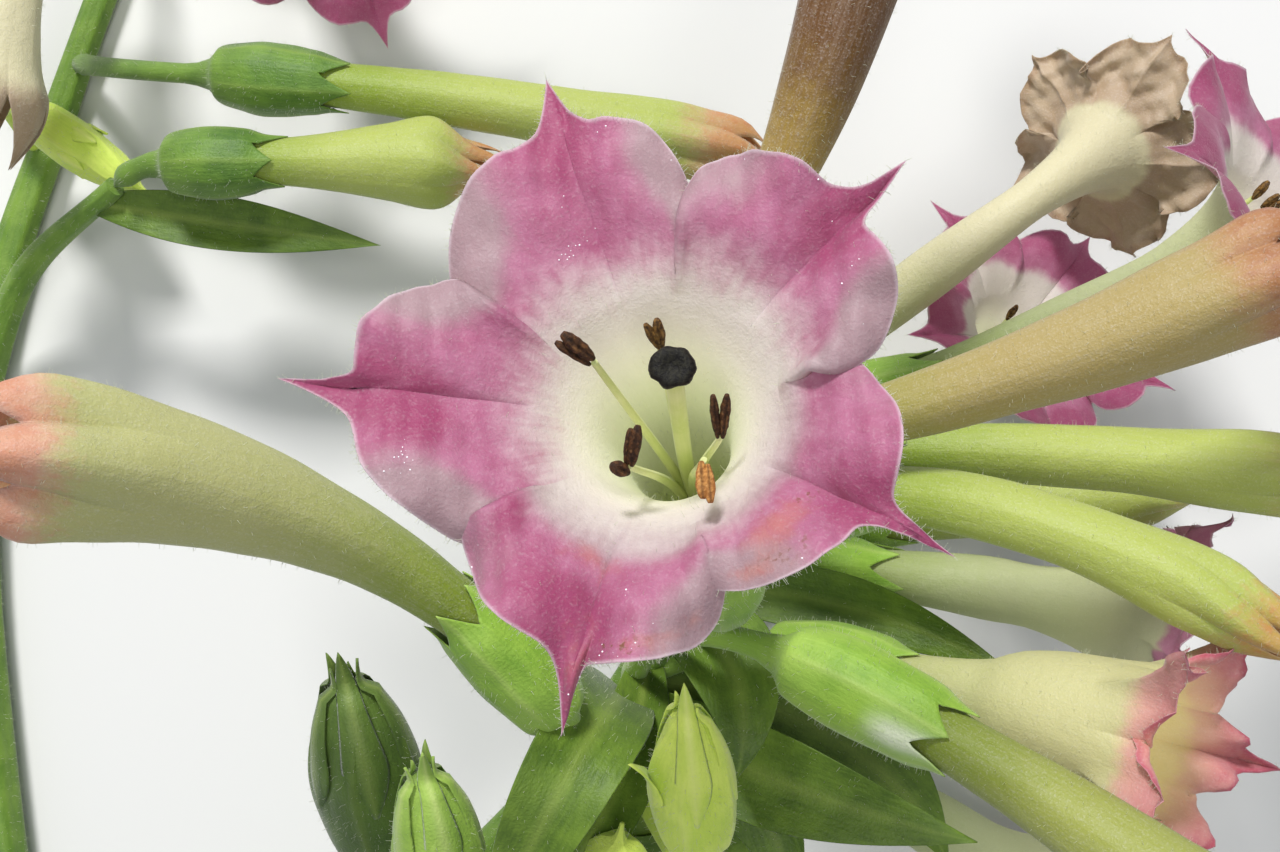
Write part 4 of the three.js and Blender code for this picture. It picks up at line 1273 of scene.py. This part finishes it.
# Each anther's pods: foot, head and width, in the main flower's mouth
MAIN_ANTHERS = {
    "main_anther_long": (ANTHER_BROWN, [
        ((-2.72, 3.95, 106.7), (-4.55, 5.42, 107.7), 0.95),
        ((-2.95, 3.62, 106.5), (-4.98, 4.95, 107.3), 0.62)]),
    "main_anther_back": (ANTHER_GOLD, [
        ((1.15, 4.7, 104.3), (0.32, 6.12, 105.5), 0.6), ((1.35, 4.75, 104.3), (1.0, 6.4, 105.7), 0.72)]),
    "main_anther_right": (ANTHER_BROWN, [
        ((4.72, -0.72, 103.9), (4.36, 1.85, 105.6), 0.62), ((5.02, -0.72, 103.9), (5.2, 1.88, 105.7), 0.68)]),
    "main_anther_low": (ANTHER_BROWN, [
        ((-0.82, -2.4, 105.3), (-0.55, -0.15, 106.3), 0.62), ((-0.5, -2.4, 105.5), (-0.12, 0.02, 106.5), 0.8),
        ((-0.66, -2.82, 105.4), (-1.72, -2.3, 106.2), 0.92)]),
    "main_anther_tan": (ANTHER_TAN, [
        ((3.62, -2.1, 107.1), (3.72, -4.25, 107.8), 0.85),
        ((3.98, -2.25, 107.3), (4.15, -4.5, 107.9), 0.72)]),
}
MAIN_FILAMENTS = [
    ((-2.72, 3.78, 106.5), (2.7, -3.6, 89)), ((1.25, 4.7, 104.2), (3.3, -3.4, 89)),
    ((4.87, -0.7, 103.8), (4.2, -3.5, 89)), ((-0.66, -2.4, 105.2), (2.5, -4.3, 89)),
    ((3.76, -2.0, 107.0), (3.7, -4.2, 89)),
]
MAIN_STYLE = ((1.92, 3.4, 107.5), (3.5, -3.9, 89))
FILAMENT_ROOT = np.array([5.8, -8.3, 75])
FILAMENT_MIDDLE = np.array([3.3, -3.8, 89])


def stigma_skin(foot, along, radius, seed):
    """A sticky knob of two lobes with a dent in its top."""
    axis = Axis(np.stack([foot, foot + along * radius]))
    steps = np.array([[0, 0.3], [0.06, 0.62], [0.25, 0.9], [0.5, 1.0], [0.72, 0.95], [0.84, 0.74],
                      [0.82, 0.5], [0.7, 0.3], [0.66, 0.12]]) * radius
    angle = round_angles(36)
    lobed = 1 + 0.05 * np.cos(2 * angle + 1) + 0.03 * np.cos(7 * angle)
    ring_radius = steps[:, 1:] * lobed
    uneven = ripple(flat_place(ring_radius, angle, steps[:, :1]), radius * 0.7, seed)
    return axis.ring(steps[:, :1], ring_radius * (1 + 0.05 * uneven), angle), {}


def tapered(places, steps, first, last):
    """A line through the places, and radii that change evenly along it."""
    points = smooth_line(places, steps)
    return points, np.linspace(first, last, len(points))


def threads(name, lines, sides, depth=STEM_RIB_DEPTH):
    finish_piece(stalks(name, lines, GREENS["filament"], sides, 2, depth))


def make_main_stamens():
    for seed, (name, (material, pods)) in enumerate(MAIN_ANTHERS.items()):
        skins = [theca(*pod, 10 * seed + k) for k, pod in enumerate(pods)]
        finish_piece(closed_skins(name, skins, material))
    lines = [tapered([FILAMENT_ROOT + (waist - FILAMENT_MIDDLE) * 0.6, waist, foot], 24, 0.46, 0.2)
             for foot, waist in MAIN_FILAMENTS]
    threads("main_filaments", lines, sides=14, depth=0.08)
    foot, waist = MAIN_STYLE
    style = [tapered([FILAMENT_ROOT, waist, foot], 24, 0.44, 0.56)]
    threads("main_style", style, sides=18)
    along = unit(np.array([-0.05, 0.1, 1.0]))
    knob = closed_skins("main_stigma", [stigma_skin(foot - along * 0.2, along, 1.32, 3)], STIGMA)
    finish_piece(knob)


make_main_stamens()

# The other open flowers: how far before the mouth their anthers stand
OTHER_STAMENS = {"high_right": 0.5, "curled": 9.0, "edge_on": 2.0, "behind": 2.0, "top": 1.0, "back_low": 2.0}


def make_other_stamens():
    draw = np.random.default_rng(77)
    pods, lines, knobs = [], [], []
    for seed, (name, short) in enumerate(OTHER_STAMENS.items()):
        axis = AXES[name]
        root = axis.section(axis.base + CALYX_LENGTH)[0]
        for k in range(LOBE_COUNT):
            angle = 2 * math.pi * (k + draw.uniform(-0.2, 0.2)) / LOBE_COUNT
            s = axis.length - short - draw.uniform(0, 3)
            foot, head, waist = (
                axis.ring(s + more, out, angle) for more, out in ((0, 2.3), (1.9, 2.7), (-10, 1.2)))
            aside = axis.ring(s, 0.32, angle + math.pi / 2) - axis.section(s)[0]
            for shift in (-aside, aside):
                pods.append(theca(foot + shift, head + shift, 0.75, seed + k, rows=12, sides=12))
            lines.append(tapered([root, waist, foot], 16, 0.4, 0.2))
        foot, along, _, _ = axis.section(axis.length - short + 0.6)
        lines.append(tapered([root, axis.section(axis.length - 10)[0], foot], 16, 0.4, 0.4))
        knobs.append(stigma_skin(foot - along * 0.2, along, 0.95, seed))
    finish_piece(closed_skins("other_anthers", pods, ANTHER_GOLD))
    threads("other_filaments", lines, sides=10, depth=0.05)
    finish_piece(closed_skins("other_stigmas", knobs, STIGMA))


make_other_stamens()


# Hairs and drops

def hair_material():
    w = start_material("hair_white")
    place = w.place()
    tint = w.mix(w.noise(place, 900.0), colour(214, 222, 190), colour(240, 238, 226))
    return end_material(w, tint, w.noise(place, 9000.0), 0.01, 0.5, through=tint, through_part=0.4)


def drop_material():
    # Painted highlight: the drops are opaque and near white, standing in for the glints of clear droplets.
    w = start_material("drop_painted_glint")
    place = w.place()
    tint = w.mix(w.noise(place, 900.0), WHITE, colour(250, 244, 248))
    return end_material(w, tint, w.noise(place, 5000.0), 0.01, 0.08, specular=0.9)


HAIR_WHITE = hair_material()
DROP_GLINT = drop_material()


def make_hairs():
    """The last number of each is how many grow on a square metre where its mask is 1."""
    fine = {"Material": HAIR_WHITE, "Length": 0.38 * MM, "Thickness": 0.017 * MM, "Head": 0.026 * MM}
    short = fine | {"Length": 0.34 * MM, "Thickness": 0.016 * MM, "Head": 0.024 * MM}
    drops = {"Material": DROP_GLINT, "Radius": 0.06 * MM}
    main_petals, *others = PETAL_SKINS
    for seed, (name, skins, tree, settings, count) in enumerate((
            ("stem_hairs", STEM_SKINS, HAIRS, fine, 1.3e6),
            ("calyx_hairs", GREEN_SKINS, HAIRS, fine, 1.3e6),
            ("main_petal_hairs", [main_petals], HAIRS, short, 1.6e6),
            ("petal_hairs", others, HAIRS, short, 0.8e6),
            ("main_petal_drops", [main_petals], DROPS, drops, 9e6)), 1):
        scattered(name, skins, tree, settings | {"Density": count, "Seed": seed})


make_hairs()


# Camera, floor and light

def make_stage():
    scene = bpy.context.scene
    scene.view_settings.view_transform = "Standard"
    camera_data = bpy.data.cameras.new("camera")
    camera_data.lens = 50
    camera_data.sensor_width = 36
    camera_data.clip_start = 0.01
    scene.camera = linked("camera", camera_data)
    scene.camera.location = (ORIGIN_SHIFT + (0, 0, EYE_HEIGHT)) * MM

    world = bpy.data.worlds.new("studio")
    world.use_nodes = True
    background = world.node_tree.nodes["Background"]
    background.inputs[0].default_value = (0.82, 0.9, 1.0, 1.0)
    background.inputs[1].default_value = 0.35
    scene.world = world

    bpy.ops.mesh.primitive_plane_add(size=4)
    floor = bpy.context.object
    floor.name = "floor"
    w = start_material("floor")
    surface = w.add("ShaderNodeBsdfPrincipled", {"Base Color": (0.72, 0.71, 0.69, 1.0), "Roughness": 0.9})
    w.add("ShaderNodeOutputMaterial", {0: surface.outputs[0]})
    floor.data.materials.append(w.material)

    for name, place, size, watts in (
            ("key", (-0.16, 0.6, 0.55), 0.14, 6.8),
            ("overhead", (0.03, -0.12, 0.95), 0.36, 3.0)):
        light_data = bpy.data.lights.new(name, "AREA")
        light_data.size = size
        light_data.energy = watts
        light = linked(name, light_data)
        light.location = place
        direction = (ORIGIN_SHIFT + (0, 0, MAIN_FLOWER_HEIGHT)) * MM - place
        yaw = math.atan2(direction[1], direction[0])
        pitch = math.atan2(math.hypot(direction[0], direction[1]), -direction[2])
        light.rotation_euler = (pitch, 0, yaw - math.pi / 2)


make_stage()
